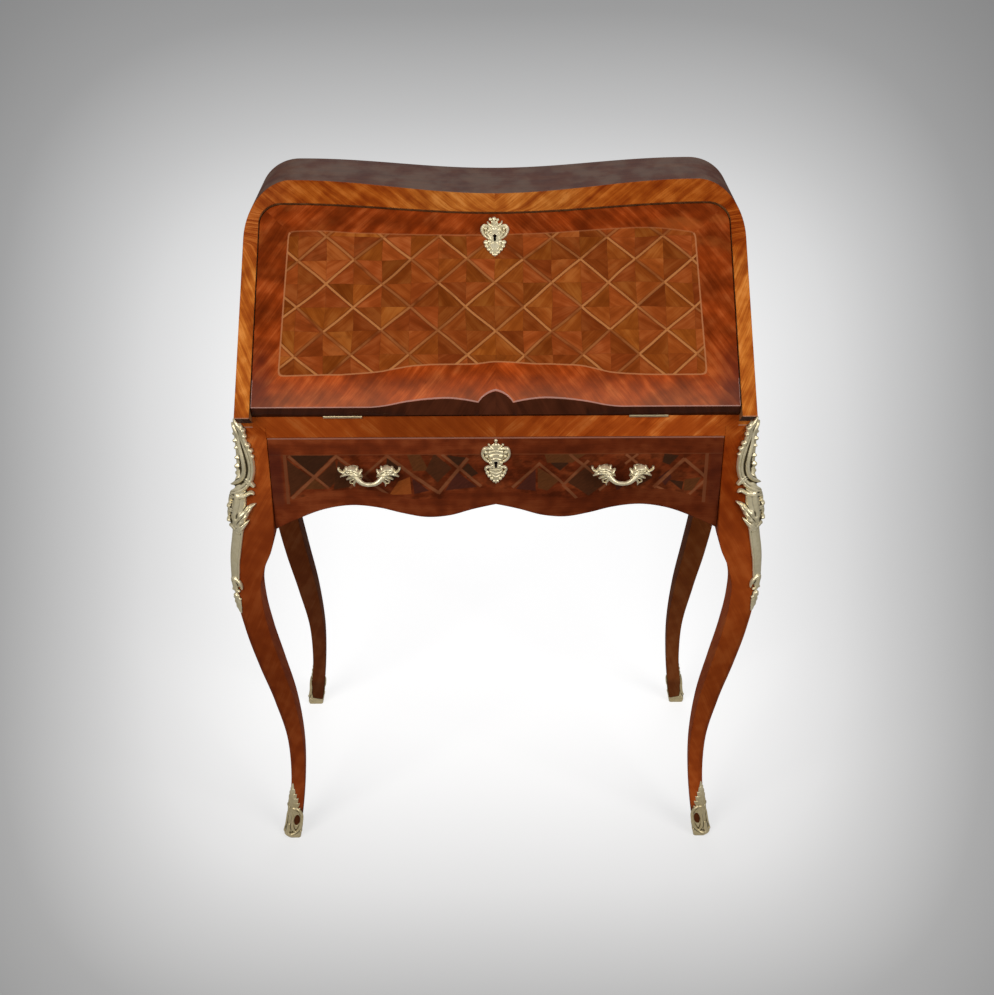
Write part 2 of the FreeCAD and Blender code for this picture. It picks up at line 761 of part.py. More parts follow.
# Stop blocks on the back apron meet the drawer's sides when it is shut.
stop_face = box_back + end_gap
stop_blocks = []
for side in (-1, 1):
    x_mid = side * (side_in + drawer_wood / 2 - stop_width / 2 + drawer_wood / 2)
    stop_blocks.append(box(x_mid - stop_width / 2, x_mid + stop_width / 2, stop_face,
                           back_y - apron_thick, drawer_floor + stop_height,
                           drawer_floor + stop_height * 2))
save("drawer_stops", Part.makeCompound(stop_blocks))

lock_top = drawer_top - slide_gap
drawer_lock = box(-lock_half, lock_half, front_back - lock_thick, front_back,
                  lock_top - lock_height, lock_top)
bolt_y1 = front_back - bolt_n0
bolt_y0 = bolt_y1 - bolt_thick
drawer_bolt = box(-bolt_half, bolt_half, bolt_y0, bolt_y1, lock_top - bolt_length, lock_top)
bolt_way = box(slot_x0, slot_x1, bolt_y0 - slide_gap, bolt_y1 + slide_gap,
               lock_top - bolt_length - slide_gap, lock_top + bolt_throw + slide_gap * 2)
save("drawer_lock", drawer_lock.cut(bolt_way))
save("drawer_lock_bolt", drawer_bolt)
key_start = bolt_y0 - slide_gap
drawer_keyhole = keyhole(
    lambda a, b: V(a, key_start, drawer_key_height + b), V(0, -front_thick - shield_thick - overrun, 0))
drawer_shield = shield(
    drawer_shield_height, lambda a, b: V(a, front_face, drawer_shield_low + b),
    V(0, -shield_thick, 0))
save("drawer_escutcheon", drawer_shield.cut(drawer_keyhole))
drawer_front = scalloped(drawer_half, drawer_top, front_face, front_thick)
drawer_front = cut_all(drawer_front, [drawer_bottom, drawer_lock, bolt_way, drawer_keyhole])
save("drawer_front", drawer_front)
save("frieze_rail", cut_all(frieze_rail, rail_tools + [bolt_way]))

# Pulls: one casting each, a leaf spray at either end and a low bar between
pull_middle = 171.0
pull_half = 43.0
pull_drop = 34.2
pull_height = 37.0
pull_bar = 3.2
pull_stem = 4.5
leaf_out = 9.0
stem_share = 0.56
# Bar: share of the half length, share of the height, share of the reach.
bar_shares = ((0.62, 0.50, 0.45), (0.50, 0.24, 0.72), (0.28, 0.09, 0.88), (0.0, 0.09, 0.886))
# Leaf: shares of the half length and of the height.
spray_shares = (
    (0.34, 0.62), (0.46, 0.90), (0.66, 1.0), (0.84, 0.86), (1.0, 0.98), (0.94, 0.62),
    (0.84, 0.34), (0.78, 0.06), (0.66, 0.16), (0.56, 0.30), (0.44, 0.40),
)


pull_low = drawer_top - pull_drop - pull_height


def pull(middle):
    """Handle whose middle is at x = middle on the drawer's face."""
    height = pull_height
    reach = pull_reach - front_proud
    pieces = []
    path = []
    for a, b, c in bar_shares:
        path.append(V(middle + pull_half * a, front_face - reach * c, pull_low + height * b))
    path += [V(2 * middle - p.x, p.y, p.z) for p in reversed(path[:-1])]
    spine = curve(path)
    start = path[0]
    tangent = spine.tangentAt(spine.FirstParameter)
    ring = Part.Wire([Part.Circle(start, tangent, pull_bar).toShape()])
    pieces.append(Part.Wire([spine]).makePipeShell([ring], True, False))
    for side in (-1, 1):
        outline = [V(middle + side * pull_half * a, front_face - leaf_out, pull_low + height * b)
                   for a, b in spray_shares]
        pieces.append(closed_prism(loop_of(outline), V(0, -leaf_out / 2, 0)))
        stem_x = middle + side * pull_half * stem_share
        stem_z = pull_low + height * stem_share
        pieces.append(Part.makeCylinder(pull_stem, leaf_out, V(stem_x, front_face, stem_z), -Y_AXIS))
    return fused(pieces)


save("left_pull", pull(-pull_middle))
save("right_pull", pull(pull_middle))

# Inside fitting: shelf, two dividers, two small drawers beside a niche
fitting_setback = 168.0
fitting_height = 72.0
shelf_thick = 8.0
niche_half = 105.0
small_front = 10.0
small_wall = 6.0
small_floor = 4.0
knob_radius = 7.0
knob_neck = 3.0
knob_out = 12.0

fitting_front = front_y + fitting_setback
fitting_back = back_y - back_thick
shelf_low = bed_height + fitting_height
save("interior_shelf", box(-inner_half, inner_half, fitting_front, fitting_back,
                           shelf_low, shelf_low + shelf_thick))
right_divider = box(niche_half, niche_half + shelf_thick, fitting_front, fitting_back,
                    bed_height, shelf_low)
save("right_interior_divider", right_divider)
save("left_interior_divider", mirrored(right_divider))


def small_drawer():
    """Front, tray and knob of the right small drawer."""
    x0 = niche_half + shelf_thick + drawer_gap
    x1 = inner_half - drawer_gap
    y1 = fitting_front + small_front
    z0 = bed_height + slide_gap
    z1 = shelf_low - drawer_gap
    front = box(x0, x1, fitting_front, y1, z0, z1)
    outer = box(x0, x1, y1, fitting_back - drawer_gap, z0, z1 - small_wall)
    inner = box(x0 + small_wall, x1 - small_wall, y1, fitting_back - drawer_gap - small_wall,
                z0 + small_floor, z1)
    spot = V((x0 + x1) / 2, fitting_front, (z0 + z1) / 2)
    neck = Part.makeCylinder(knob_neck, knob_out - knob_radius / 2, spot, -Y_AXIS)
    ball = Part.makeSphere(knob_radius, spot - Y_AXIS * knob_out)
    return front, outer.cut(inner), fused([neck, ball])


front, tray, knob = small_drawer()
for side_name, turned in (("right", lambda shape: shape), ("left", mirrored)):
    save(side_name + "_small_drawer_front", turned(front))
    save(side_name + "_small_drawer_tray", turned(tray))
    save(side_name + "_small_drawer_knob", turned(knob))

# Write every piece
os.makedirs("parts", exist_ok=True)
for name in sorted(made):
    shape = made[name]
    shape.exportStep("parts/" + name + ".step")
    bounds = shape.BoundBox
    print("%-28s solids %d valid %s volume %.1f  x %.1f %.1f  y %.1f %.1f  z %.1f %.1f" % (
        name, len(shape.Solids), shape.isValid(), shape.Volume, bounds.XMin, bounds.XMax,
        bounds.YMin, bounds.YMax, bounds.ZMin, bounds.ZMax))
print(len(made), "pieces")
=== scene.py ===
import json
import math

import bmesh
import bpy
import numpy as np
from mathutils import Matrix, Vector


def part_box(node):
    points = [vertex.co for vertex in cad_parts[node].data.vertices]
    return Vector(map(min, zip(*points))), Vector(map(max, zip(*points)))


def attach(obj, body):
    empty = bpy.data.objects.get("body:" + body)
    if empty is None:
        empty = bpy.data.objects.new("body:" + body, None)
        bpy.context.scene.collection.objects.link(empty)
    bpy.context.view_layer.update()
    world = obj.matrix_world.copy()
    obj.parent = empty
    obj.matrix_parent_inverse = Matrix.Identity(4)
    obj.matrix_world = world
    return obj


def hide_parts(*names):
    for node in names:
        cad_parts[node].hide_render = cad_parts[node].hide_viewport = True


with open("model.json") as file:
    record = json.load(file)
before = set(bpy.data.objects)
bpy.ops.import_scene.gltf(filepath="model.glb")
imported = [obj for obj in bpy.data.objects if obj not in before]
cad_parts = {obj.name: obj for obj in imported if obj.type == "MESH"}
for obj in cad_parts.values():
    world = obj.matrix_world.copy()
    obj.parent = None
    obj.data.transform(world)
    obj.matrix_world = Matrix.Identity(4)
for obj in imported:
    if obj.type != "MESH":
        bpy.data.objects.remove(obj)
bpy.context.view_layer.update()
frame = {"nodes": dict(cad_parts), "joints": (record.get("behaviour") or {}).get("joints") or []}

# The camera stands 1.84 m in front of the desk and 1.55 m up, tipped down by 29 degrees, as
# the photograph's own lines give it.
eye = np.array([-0.0051, -1.843, 1.554])
pitch, yaw, roll = np.radians([29.38, 0.22, 0.16])
focal_pixels = 1398.7
picture = (994, 995)
forward = np.array([np.sin(yaw) * np.cos(pitch), np.cos(yaw) * np.cos(pitch), -np.sin(pitch)])
level = np.array([np.cos(yaw), -np.sin(yaw), 0.0])
down = np.cross(forward, level)
right_axis = level * np.cos(roll) + down * np.sin(roll)
down_axis = -level * np.sin(roll) + down * np.cos(roll)
camera = bpy.data.objects.new("camera", bpy.data.cameras.new("camera"))
camera.data.sensor_width = 36.0
camera.data.lens = focal_pixels * 36.0 / max(picture)
camera.data.clip_start = 0.05
turned = np.eye(4)
turned[:3, 0], turned[:3, 1], turned[:3, 2], turned[:3, 3] = right_axis, -down_axis, -forward, eye
camera.matrix_world = Matrix(turned.tolist())
bpy.context.scene.collection.objects.link(camera)
bpy.context.scene.camera = camera

# The room is one pale floor that fills the picture. It is white behind the desk and grey
# towards the picture's edges, and it takes the desk's soft shadow.
floor_half = 12.0


class Wire:
    """A shader value that is added, multiplied and compared like a number."""

    def __init__(self, finish, socket):
        self.finish, self.socket = finish, socket

    def floor(self):
        """The whole number at or below the value."""
        return self.math("FLOOR")

    def fraction(self):
        """The value less the whole number at or below it."""
        return self.math("FRACT")

    def math(self, operation, *others):
        """The operation of a Math node on this value and the others."""
        return self.finish.node("Math", {"operation": operation}, dict(enumerate((self, *others))))

    def __add__(self, other):
        return self.math("ADD", other)

    def __mul__(self, other):
        return self.math("MULTIPLY", other)

    def __sub__(self, other):
        return self.math("SUBTRACT", other)

    def __rsub__(self, other):
        return self.math("MULTIPLY_ADD", -1.0, other)

    def __truediv__(self, other):
        return self.math("DIVIDE", other)

    def __abs__(self):
        return self.math("ABSOLUTE")

    def __gt__(self, other):
        return self.math("GREATER_THAN", other)

    def __lt__(self, other):
        return self.math("LESS_THAN", other)

    __radd__ = __add__
    __rmul__ = __mul__

    def least(self, other):
        """The smaller of two values."""
        return self.math("MINIMUM", other)

    def most(self, other):
        """The larger of two values."""
        return self.math("MAXIMUM", other)

    def between(self, low, high):
        """0 below low and 1 above high, with a smooth step from one to the other."""
        sockets = {"Value": self, "From Min": low, "From Max": high}
        return self.finish.node("MapRange", {"interpolation_type": "SMOOTHSTEP"}, sockets)


class Finish:
    """One material and its nodes."""

    def __init__(self, name):
        self.material = bpy.data.materials.new(name)
        self.material.use_nodes = True
        self.tree = self.material.node_tree
        self.tree.nodes.clear()

    def node(self, kind, settings, sockets, out=0):
        """Add a node with its settings and its sockets, and give one of its outputs."""
        made = self.tree.nodes.new("ShaderNode" + kind)
        for name, value in settings.items():
            if name == "smooth":
                made.color_ramp.interpolation = "CARDINAL"
            elif name == "stops":
                elements = made.color_ramp.elements
                elements[0].position, elements[-1].position = value[0][0], value[-1][0]
                for place, colour in value[1:-1]:
                    elements.new(place)
                for element, (place, colour) in zip(elements, value):
                    element.color = (*colour, 1.0)
            else:
                setattr(made, name, value)
        for key, value in sockets.items():
            if isinstance(value, Wire):
                self.tree.links.new(value.socket, made.inputs[key])
            else:
                made.inputs[key].default_value = value
        return Wire(self, made.outputs[out]) if made.outputs else None

    def vector(self, x, y, z):
        """The three values as one vector."""
        return self.node("CombineXYZ", {}, {0: x, 1: y, 2: z})

    def parts(self, vector):
        """The three values of a vector."""
        return [self.node("SeparateXYZ", {}, {0: vector}, out) for out in range(3)]

    def place(self, unit=1000.0):
        """Object coordinates x, y and z, in mm or in another part of a metre."""
        return [part * unit for part in self.parts(self.node("TexCoord", {}, {}, "Object"))]

    def noise(self, x, y, z, detail=2.0, rough=0.5):
        """Cloudy value round 0.5 whose patches are about as wide as the coordinates' unit."""
        sockets = {"Vector": self.vector(x, y, z), "Scale": 1.0, "Detail": detail,
                   "Roughness": rough}
        return self.node("TexNoise", {}, sockets)

    def ramp(self, value, stops):
        """Colour that runs straight through the stops (value, colour)."""
        return self.node("ValToRGB", {"stops": stops}, {0: value})

    def line(self, value, low, high, points):
        """Smooth line through points (value, height), for heights from low to high."""
        first, last = points[0][0], points[-1][0]
        stops = [((at - first) / (last - first), ((height - low) / (high - low),) * 3)
                 for at, height in points]
        share = (value - first) / (last - first)
        line = self.node("ValToRGB", {"stops": stops, "smooth": True}, {0: share})
        return line * (high - low) + low

    def choose(self, share, a, b):
        """The value a where share is 0, and b where it is 1."""
        return self.node("Mix", {}, {0: share, 2: a, 3: b})

    def chance(self, x, y, z):
        """A number from 0 to 1 that is the same over one tile and different over the next."""
        return self.node("TexWhiteNoise", {}, {0: self.vector(x, y, z)})

    def mix(self, share, a, b, blend="MIX"):
        """The colour a where share is 0, and b where it is 1."""
        a, b = [(c,) * 3 if isinstance(c, float) else c for c in (a, b)]
        a, b = [(*c, 1.0) if isinstance(c, tuple) else c for c in (a, b)]
        settings = {"data_type": "RGBA", "blend_type": blend}
        return self.node("Mix", settings, {0: share, 6: a, 7: b}, 2)

    def shade(self, colour, amount):
        """Colour made darker or lighter by a value round 1."""
        return self.mix(1.0, colour, amount, "MULTIPLY")

    def surface(self, **sockets):
        """Principled surface to the output; a height in metres becomes a bump."""
        height = sockets.pop("height", None)
        named = {key.replace("_", " ").title().replace("Ior", "IOR"): value
                 for key, value in sockets.items()}
        if height is not None:
            bump = {"Height": height, "Distance": 1.0, "Strength": 1.0}
            named["Normal"] = self.node("Bump", {}, bump)
        shader = self.node("BsdfPrincipled", {}, named)
        self.node("OutputMaterial", {}, {0: shader})
        return self.material


floor_mesh = bpy.data.meshes.new("floor")
floor_corners = [(-floor_half, -floor_half, 0), (floor_half, -floor_half, 0),
                 (floor_half, floor_half, 0), (-floor_half, floor_half, 0)]
floor_mesh.from_pydata(floor_corners, [], [(0, 1, 2, 3)])
floor = bpy.data.objects.new("floor", floor_mesh)
bpy.context.scene.collection.objects.link(floor)
paper = Finish("pale_floor")
floor_x, floor_y, _ = paper.place(1.0)
# Distance along the camera's axis, then how far off the middle of the light a place is seen.
# The light's half width and height and its height over the picture's middle are in pixels.
glow_wide, glow_high, glow_up = 497.0, 516.0, 29.5
ahead = (floor_y - eye[1]) * math.cos(pitch) + eye[2] * math.sin(pitch)
rise = ((floor_y - eye[1]) * math.sin(pitch) - eye[2] * math.cos(pitch)) / ahead
run = (floor_x - eye[0]) / ahead
off_x = run * (focal_pixels / glow_wide)
off_y = rise * (focal_pixels / glow_high) + glow_up / glow_high
far = (off_x.math("POWER", 4.0) + off_y.math("POWER", 4.0)).math("POWER", 0.25)
tone = paper.ramp(far / 1.3, [
    (0.0, (1.0, 1.0, 1.0)), (0.231, (0.975, 0.975, 0.975)), (0.308, (0.935, 0.935, 0.935)),
    (0.385, (0.87, 0.87, 0.87)), (0.462, (0.785, 0.785, 0.785)), (0.538, (0.70, 0.70, 0.70)),
    (0.615, (0.58, 0.58, 0.58)), (0.692, (0.475, 0.475, 0.475)), (0.769, (0.370, 0.370, 0.370)),
    (0.862, (0.310, 0.310, 0.310)), (1.0, (0.240, 0.240, 0.240))])
seen = paper.node("LightPath", {}, {}, "Is Camera Ray")
seen = seen.most(paper.node("LightPath", {}, {}, "Is Glossy Ray") * 0.45)
floor_mesh.materials.append(paper.surface(
    base_color=paper.shade(tone, 0.42), roughness=1.0, specular_ior_level=0.0,
    emission_color=paper.shade(tone, seen), emission_strength=0.80))

world = bpy.data.worlds.new("room")
bpy.context.scene.world = world
world.use_nodes = True
world.node_tree.nodes["Background"].inputs[0].default_value = (0.80, 0.81, 0.84, 1.0)
world.node_tree.nodes["Background"].inputs[1].default_value = 0.30


def soft_box(name, place, aim, size, watts, colour):
    """Square lamp at place, turned to face aim."""
    lamp = bpy.data.lights.new(name, "AREA")
    lamp.size, lamp.energy, lamp.color = size, watts, colour
    held = bpy.data.objects.new(name, lamp)
    back = (np.array(place) - np.array(aim)) / np.linalg.norm(np.array(place) - np.array(aim))
    side = np.cross((0.0, 0.0, 1.0), back)
    side /= np.linalg.norm(side)
    turn = np.eye(4)
    turn[:3, 0], turn[:3, 1], turn[:3, 2], turn[:3, 3] = side, np.cross(back, side), back, place
    held.matrix_world = Matrix(turn.tolist())
    bpy.context.scene.collection.objects.link(held)


soft_box("front_left_lamp", (-1.7, -2.3, 2.5), (0, 0, 0.6), 1.6, 50.0, (1.0, 0.97, 0.93))
soft_box("front_right_lamp", (1.9, -1.9, 2.2), (0, 0, 0.6), 1.4, 34.0, (1.0, 0.98, 0.96))
soft_box("back_lamp", (0.3, 2.6, 2.6), (0, 0, 0.7), 2.2, 16.0, (0.95, 0.97, 1.0))

# The upper case is one carcass: two side panels and a top board that meet in rounded corners,
# in mahogany, faced with tulipwood that is laid slantwise on the sloping front edge. The
# boards are rebated and glued, and the back panel is let in between them.
band_rise, foot_s, foot_cut = 22.5, -10.65, 725.0


def corners_of(node):
    """A node's lowest and highest corners at rest, in mm to a thousandth."""
    return np.round(np.array(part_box(node)) * 1000.0, 3).tolist()


(case_inside, _, case_low), (case_half, back_plane, _) = corners_of("right_side_panel")
# The slope stands on the hinge line of the fall, which opens until it is level.
fall_hinge = next(joint for joint in frame["joints"] if joint["name"] == "fall_hinge")
_, hinge_y, hinge_z = [round(part * 1000.0, 3) for part in fall_hinge["pos_m"]]
slope = math.radians(180.0 - fall_hinge["range_deg"][1])


def on_slope(x, s, n):
    """Point x across the desk, s up the slope from the hinge line and n out of it, in mm."""
    y = hinge_y + s * math.cos(slope) - n * math.sin(slope)
    z = hinge_z + s * math.sin(slope) + n * math.cos(slope)
    return np.stack(np.broadcast_arrays(x, y, z), -1)


def wavy_top(half, radius, low, wave, steps):
    """Outline over a top, left to right: a quarter circle, then a wave that is low in the
    middle, low + wave * (1 - cos) / 2, then a quarter circle. It ends at -half and +half."""
    span = half - radius
    turn = np.linspace(0, np.pi / 2, steps)
    x = np.linspace(-span, span, 4 * steps)[1:-1]
    corner = np.stack([span + radius * np.cos(turn), low + wave - radius + radius * np.sin(turn)],
                      -1)
    middle = np.stack([x, low + wave * (1 - np.cos(np.pi * x / span)) / 2], -1)
    return np.concatenate([corner * (-1, 1), middle, corner[::-1]])


def unit(vector):
    """The same directions with length 1."""
    return vector / np.linalg.norm(vector, axis=-1, keepdims=True)


def arris(corner, one, other, radius, steps=6):
    """Rounded edge: a curve of the second degree from radius along one to radius along other,
    with the corner as its middle point. The steps run along axis 1."""
    share = np.linspace(0, 1, steps)[None, :, None]
    start, end = (corner + radius * one)[:, None], (corner + radius * other)[:, None]
    return (1 - share) ** 2 * start + 2 * share * (1 - share) * corner[:, None] + share ** 2 * end


def skin(name, patches, materials, lids=(), sharp=40.0):
    """Mesh from patches. A patch is a grid of points in mm and the material number of its faces,
    one for all or one for each strip. Neighbours on the grid make four-sided faces. A lid is a
    ring of points and a material number. Points that meet are merged, faces are turned
    outwards, and edges sharper than the angle sharp stay sharp."""
    points, corners, slots = [], [], []
    count = 0
    for grid, slot in patches:
        rows, columns = grid.shape[:2]
        numbers = np.arange(rows * columns).reshape(rows, columns) + count
        faces = np.stack([numbers[:-1, :-1], numbers[:-1, 1:], numbers[1:, 1:], numbers[1:, :-1]],
                         -1)
        corners.append(faces.reshape(-1, 4))
        slots.append(np.broadcast_to(slot, (rows - 1, columns - 1)).reshape(-1))
        points.append(grid.reshape(-1, 3))
        count += rows * columns
    faces = np.concatenate(corners).tolist()
    slots = np.concatenate(slots).tolist()
    for ring, slot in lids:
        points.append(ring)
        faces.append(list(range(count, count + len(ring))))
        slots.append(slot)
        count += len(ring)
    mesh = bpy.data.meshes.new(name)
    mesh.from_pydata((np.concatenate(points) / 1000.0).tolist(), [], faces)
    for material in materials:
        mesh.materials.append(material)
    mesh.polygons.foreach_set("material_index", np.array(slots, np.int32))
    shape = bmesh.new()
    shape.from_mesh(mesh)
    bmesh.ops.remove_doubles(shape, verts=shape.verts, dist=1e-6)
    bmesh.ops.dissolve_degenerate(shape, edges=shape.edges, dist=1e-7)
    bmesh.ops.recalc_face_normals(shape, faces=shape.faces)
    shape.to_mesh(mesh)
    shape.free()
    mesh.shade_smooth()
    mesh.set_sharp_from_angle(angle=math.radians(sharp))
    piece = bpy.data.objects.new(name, mesh)
    bpy.context.scene.collection.objects.link(piece)
    return piece


def polish(finish, along, across, stops, gloss=0.22, stripe=0.11, pore=0.45, fine=0.34):
    """French-polished veneer: stripes and fine streaks that run along the grain and wander,
    open pores, and a clear hard coat. along and across are Wires in mm, and fine is the share
    of the fine streaks. It gives the tone from 0 to 1, the colour, the roughness and the height."""
    bend = finish.noise(along * 0.007, across * 0.016, 3.7) - 0.5
    across = across + bend * 16.0
    broad = finish.noise(along * 0.006, across * stripe, 8.1, 2.0)
    streak = finish.noise(along * 0.02, across * 0.55, 2.3, 3.0, 0.6)
    pores = finish.noise(along * 0.11, across * 2.4, 5.9, 1.0).between(0.60, 0.72)
    figure = finish.noise(along * 0.05, across * 0.05, 1.4, 1.0)
    tone = (broad * 0.46 + streak * fine + figure * (0.54 - fine)).between(0.34, 0.66)
    colour = finish.ramp(tone, stops)
    colour = finish.mix(pores * pore, colour, tuple(0.35 * part for part in stops[0][1]))
    rough = gloss + streak * 0.08 + pores * 0.1
    return tone, colour, rough, (streak * 0.5 - pores) * 0.000012


def polished(finish, colour, rough, height, coat=0.10, haze=0.08):
    """Material of polished wood: the colour with no gleam of its own under a thin clear coat."""
    return finish.surface(base_color=colour, roughness=rough, specular_ior_level=0.0,
                          coat_weight=coat, coat_roughness=haze, height=height)


band_stops = [(0.0, (0.24, 0.044, 0.005)), (0.35, (0.36, 0.086, 0.010)),
              (0.7, (0.48, 0.140, 0.019)), (1.0, (0.62, 0.220, 0.044))]
band = Finish("tulipwood_band")
x, y, z = band.place()
s = (y - hinge_y) * math.cos(slope) + (z - hinge_z) * math.sin(slope)
wide = abs(x)
lean = band.choose(s.between(240.0, 300.0), math.radians(67.0), math.radians(41.0))
lean_sin, lean_cos = lean.math("SINE"), lean.math("COSINE")
hand = x.math("SIGN") * 37.0
band_along, band_across = wide * lean_cos + s * lean_sin, wide * lean_sin - s * lean_cos + hand
_, colour, rough, height = polish(band, band_along, band_across, band_stops, stripe=0.11,
                                  fine=0.24)
light = band.line(wide, 0.0, 2.0, [(0, 1.08), (70, 1.0), (150, 0.80), (250, 0.74), (300, 0.80),
                                   (345, 0.9)])
light = band.choose(s.between(170.0, 265.0), 1.28, light)
# Along the top the veneer is redder towards the ends, and darkest in the right corner.
at_head = s.between(200.0, 262.0)
tint = band.mix(wide.between(70.0, 170.0) * at_head, (1.0, 1.0, 1.0), (1.10, 0.84, 0.58))
tint = band.mix(x.between(262.0, 312.0) * at_head, tint, (0.84, 0.56, 0.36))
tint = band.mix((0.0 - x).between(262.0, 312.0) * at_head, tint, (1.14, 1.0, 1.2))
# A painted highlight runs along the band's lower arris, at its foot.
foot_highlight = (1.0 - (s - foot_s).between(0.9, 1.7)) * 0.6
colour = band.mix(foot_highlight, band.shade(band.shade(colour, light), tint), (0.40, 0.24, 0.17))
band_wood = polished(band, colour, rough, height)

# Each side is a book-matched field in a crossbanded border with a light string between them.
# The top is plain: its darkened grain under a painted grey sheen, the reflection of the pale room.
side_stops = [(0.0, (0.15, 0.028, 0.004)), (0.5, (0.25, 0.052, 0.008)), (1.0, (0.37, 0.10, 0.018))]
side_border, side_top, side_middle = 32.0, 952.0, 78.0
side = Finish("tulipwood_side")
x, y, z = side.place()
over = abs(x).between(342.0, 343.5)
n = (z - hinge_z) * math.cos(slope) - (y - hinge_y) * math.sin(slope)
from_upright = (back_plane - y).least(band_rise - n)
from_level = (z - case_low).least(side_top - z)
from_rim = from_upright.least(from_level)
bordered = from_rim < side_border
book = abs(y - side_middle)
grain_along = side.choose(bordered, side.choose(from_level < from_upright, y, z),
                          book * 0.62 + z * 0.78)
grain_across = side.choose(bordered, side.choose(from_level < from_upright, z, y),
                           book * 0.78 - z * 0.62)
_, colour, rough, height = polish(side, side.choose(over, x, grain_along),
                                  side.choose(over, y, grain_across), side_stops, fine=0.24)
side_string = (1.0 - abs(from_rim - side_border).between(0.8, 1.3)) * over * (z < side_top - 1.0)
# Painted sheen: the top is mostly a cloudy grey reflection, mixed with some of its darkened grain.
cloud = side.noise(x * 0.030, y * 0.02, z * 0.012, 3.0).between(0.34, 0.66)
top_sheen_wood = side.mix(cloud, (0.115, 0.068, 0.060), (0.175, 0.132, 0.108))
top_sheen_wood = side.mix(0.30, top_sheen_wood, side.shade(colour, 0.6))
colour = side.mix(side_string * 0.8, colour, (0.46, 0.20, 0.06))
side_wood = polished(side, side.mix(over, top_sheen_wood, colour), rough, height, 0.08, 0.3)

inside_stops = [(0.0, (0.16, 0.055, 0.018)), (0.5, (0.27, 0.105, 0.036)), (1.0, (0.38, 0.17, 0.06))]
inner_side = Finish("inside_veneer")
x, y, z = inner_side.place()
_, colour, rough, height = polish(inner_side, y, x + z, inside_stops, 0.38, pore=0.6)
inside_wood = inner_side.surface(base_color=colour, roughness=rough, coat_weight=0.15,
                                 height=height)

depths = np.array([0.0648, 0.065, 0.2, 0.4, 0.6, 0.8, 1.0])


def with_sides(outline):
    """Outline in x and s with straight sides added, down to the foot of the band."""
    share = np.linspace(0, 1, 16)[:-1]
    low = np.stack([outline[0, 0] + 0 * share, foot_s + (outline[0, 1] - foot_s) * share], -1)
    return np.concatenate([low, outline, low[::-1] * (-1, 1)])


def run_back(front):
    """Lines from the front edge straight to the back plane, at the given shares of depth. The
    first and last of them are the case's feet: cut back under the band, then flat."""
    share = depths[None, :, None]
    back = front * (1, 0, 1) + (0, back_plane, 0)
    lines = front[:, None] * (1 - share) + back[:, None] * share
    lines[[0, -1], :, 2] = case_low
    lines[[0, -1], 0, 2] = foot_cut
    return lines


outer = wavy_top(case_half, 62.0, 970.47, 15.0, 20)
outer[:, 1] = (outer[:, 1] - on_slope(0, 0, band_rise)[2]) / math.sin(slope)
outer, inner = with_sides(outer), with_sides(wavy_top(case_inside, 30.0, 291.5, 15.0, 20))
outer_front, inner_front = [on_slope(*line.T, band_rise) for line in (outer, inner)]
to_back, outwards = np.array([0.0, 1.0, 0.0]), unit(outer_front - inner_front)
shares = np.linspace(0.12, 0.85, 7)[None, :, None]
case_grid = np.concatenate([
    run_back(inner_front)[:, ::-1],
    arris(inner_front, to_back, outwards, 1.2),
    inner_front[:, None] * (1 - shares) + outer_front[:, None] * shares,
    arris(outer_front, -outwards, to_back, 2.2),
    run_back(outer_front)], 1)
case_grid = np.concatenate([case_grid, case_grid[:, :1]], 1)
case_slots = [2] * 7 + [0] * 18 + [1] * 8
lids = []
for end in (0, -1):
    loop = case_grid[end, :-1]
    half = len(depths)
    lids.append((loop[half - 1:len(loop) - half + 1], 1))
    lids.append((np.concatenate([loop[half - 2:half], loop[-half:-half + 2]]), 0))
    lids.append((np.concatenate([loop[:half - 1], loop[1 - half:]]), 1))
carcass = skin("carcass", [(case_grid, case_slots)], [band_wood, side_wood, inside_wood], lids)
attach(carcass, "case")
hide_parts("left_side_panel", "right_side_panel", "top_board")

# The fall is a mahogany board that closes the slope and opens down as the writing surface.
# Its face is trellis marquetry in quartered kingwood inside crossbanding. Its lower edge
# swells out in two bows either side of a cut-out in the middle.
fall_half, fall_thick = corners_of("fall_panel")[1][0], 20.0


def flow(points, steps):
    """Smooth line through points of any dimension. Between two points it is a cubic whose
    slope at each one is the slope from the point before to the point after."""
    points = np.asarray(points, float)
    chord = np.concatenate([[0], np.cumsum(np.linalg.norm(np.diff(points, axis=0), axis=-1))])
    slopes = np.gradient(points, chord, axis=0, edge_order=2 if len(points) > 2 else 1)
    where = np.linspace(0, chord[-1], steps)
    k = np.clip(np.searchsorted(chord, where, side="right") - 1, 0, len(points) - 2)
    gap = (chord[k + 1] - chord[k])[:, None]
    t = (where - chord[k])[:, None] / gap
    return ((2 * t ** 3 - 3 * t ** 2 + 1) * points[k] + (t ** 3 - 2 * t ** 2 + t) * gap * slopes[k]
            + (3 * t ** 2 - 2 * t ** 3) * points[k + 1] + (t ** 3 - t ** 2) * gap * slopes[k + 1])


def plate(name, loops, materials, sharp=40.0):
    """Closed board: rings of points, one per row, from its inner face to its outer face, with
    a flat lid on the first and the last."""
    grid = np.concatenate([loops, loops[:, :1]], 1)
    return skin(name, [(grid, 0)], materials, [(loops[0], 0), (loops[-1], 0)], sharp)


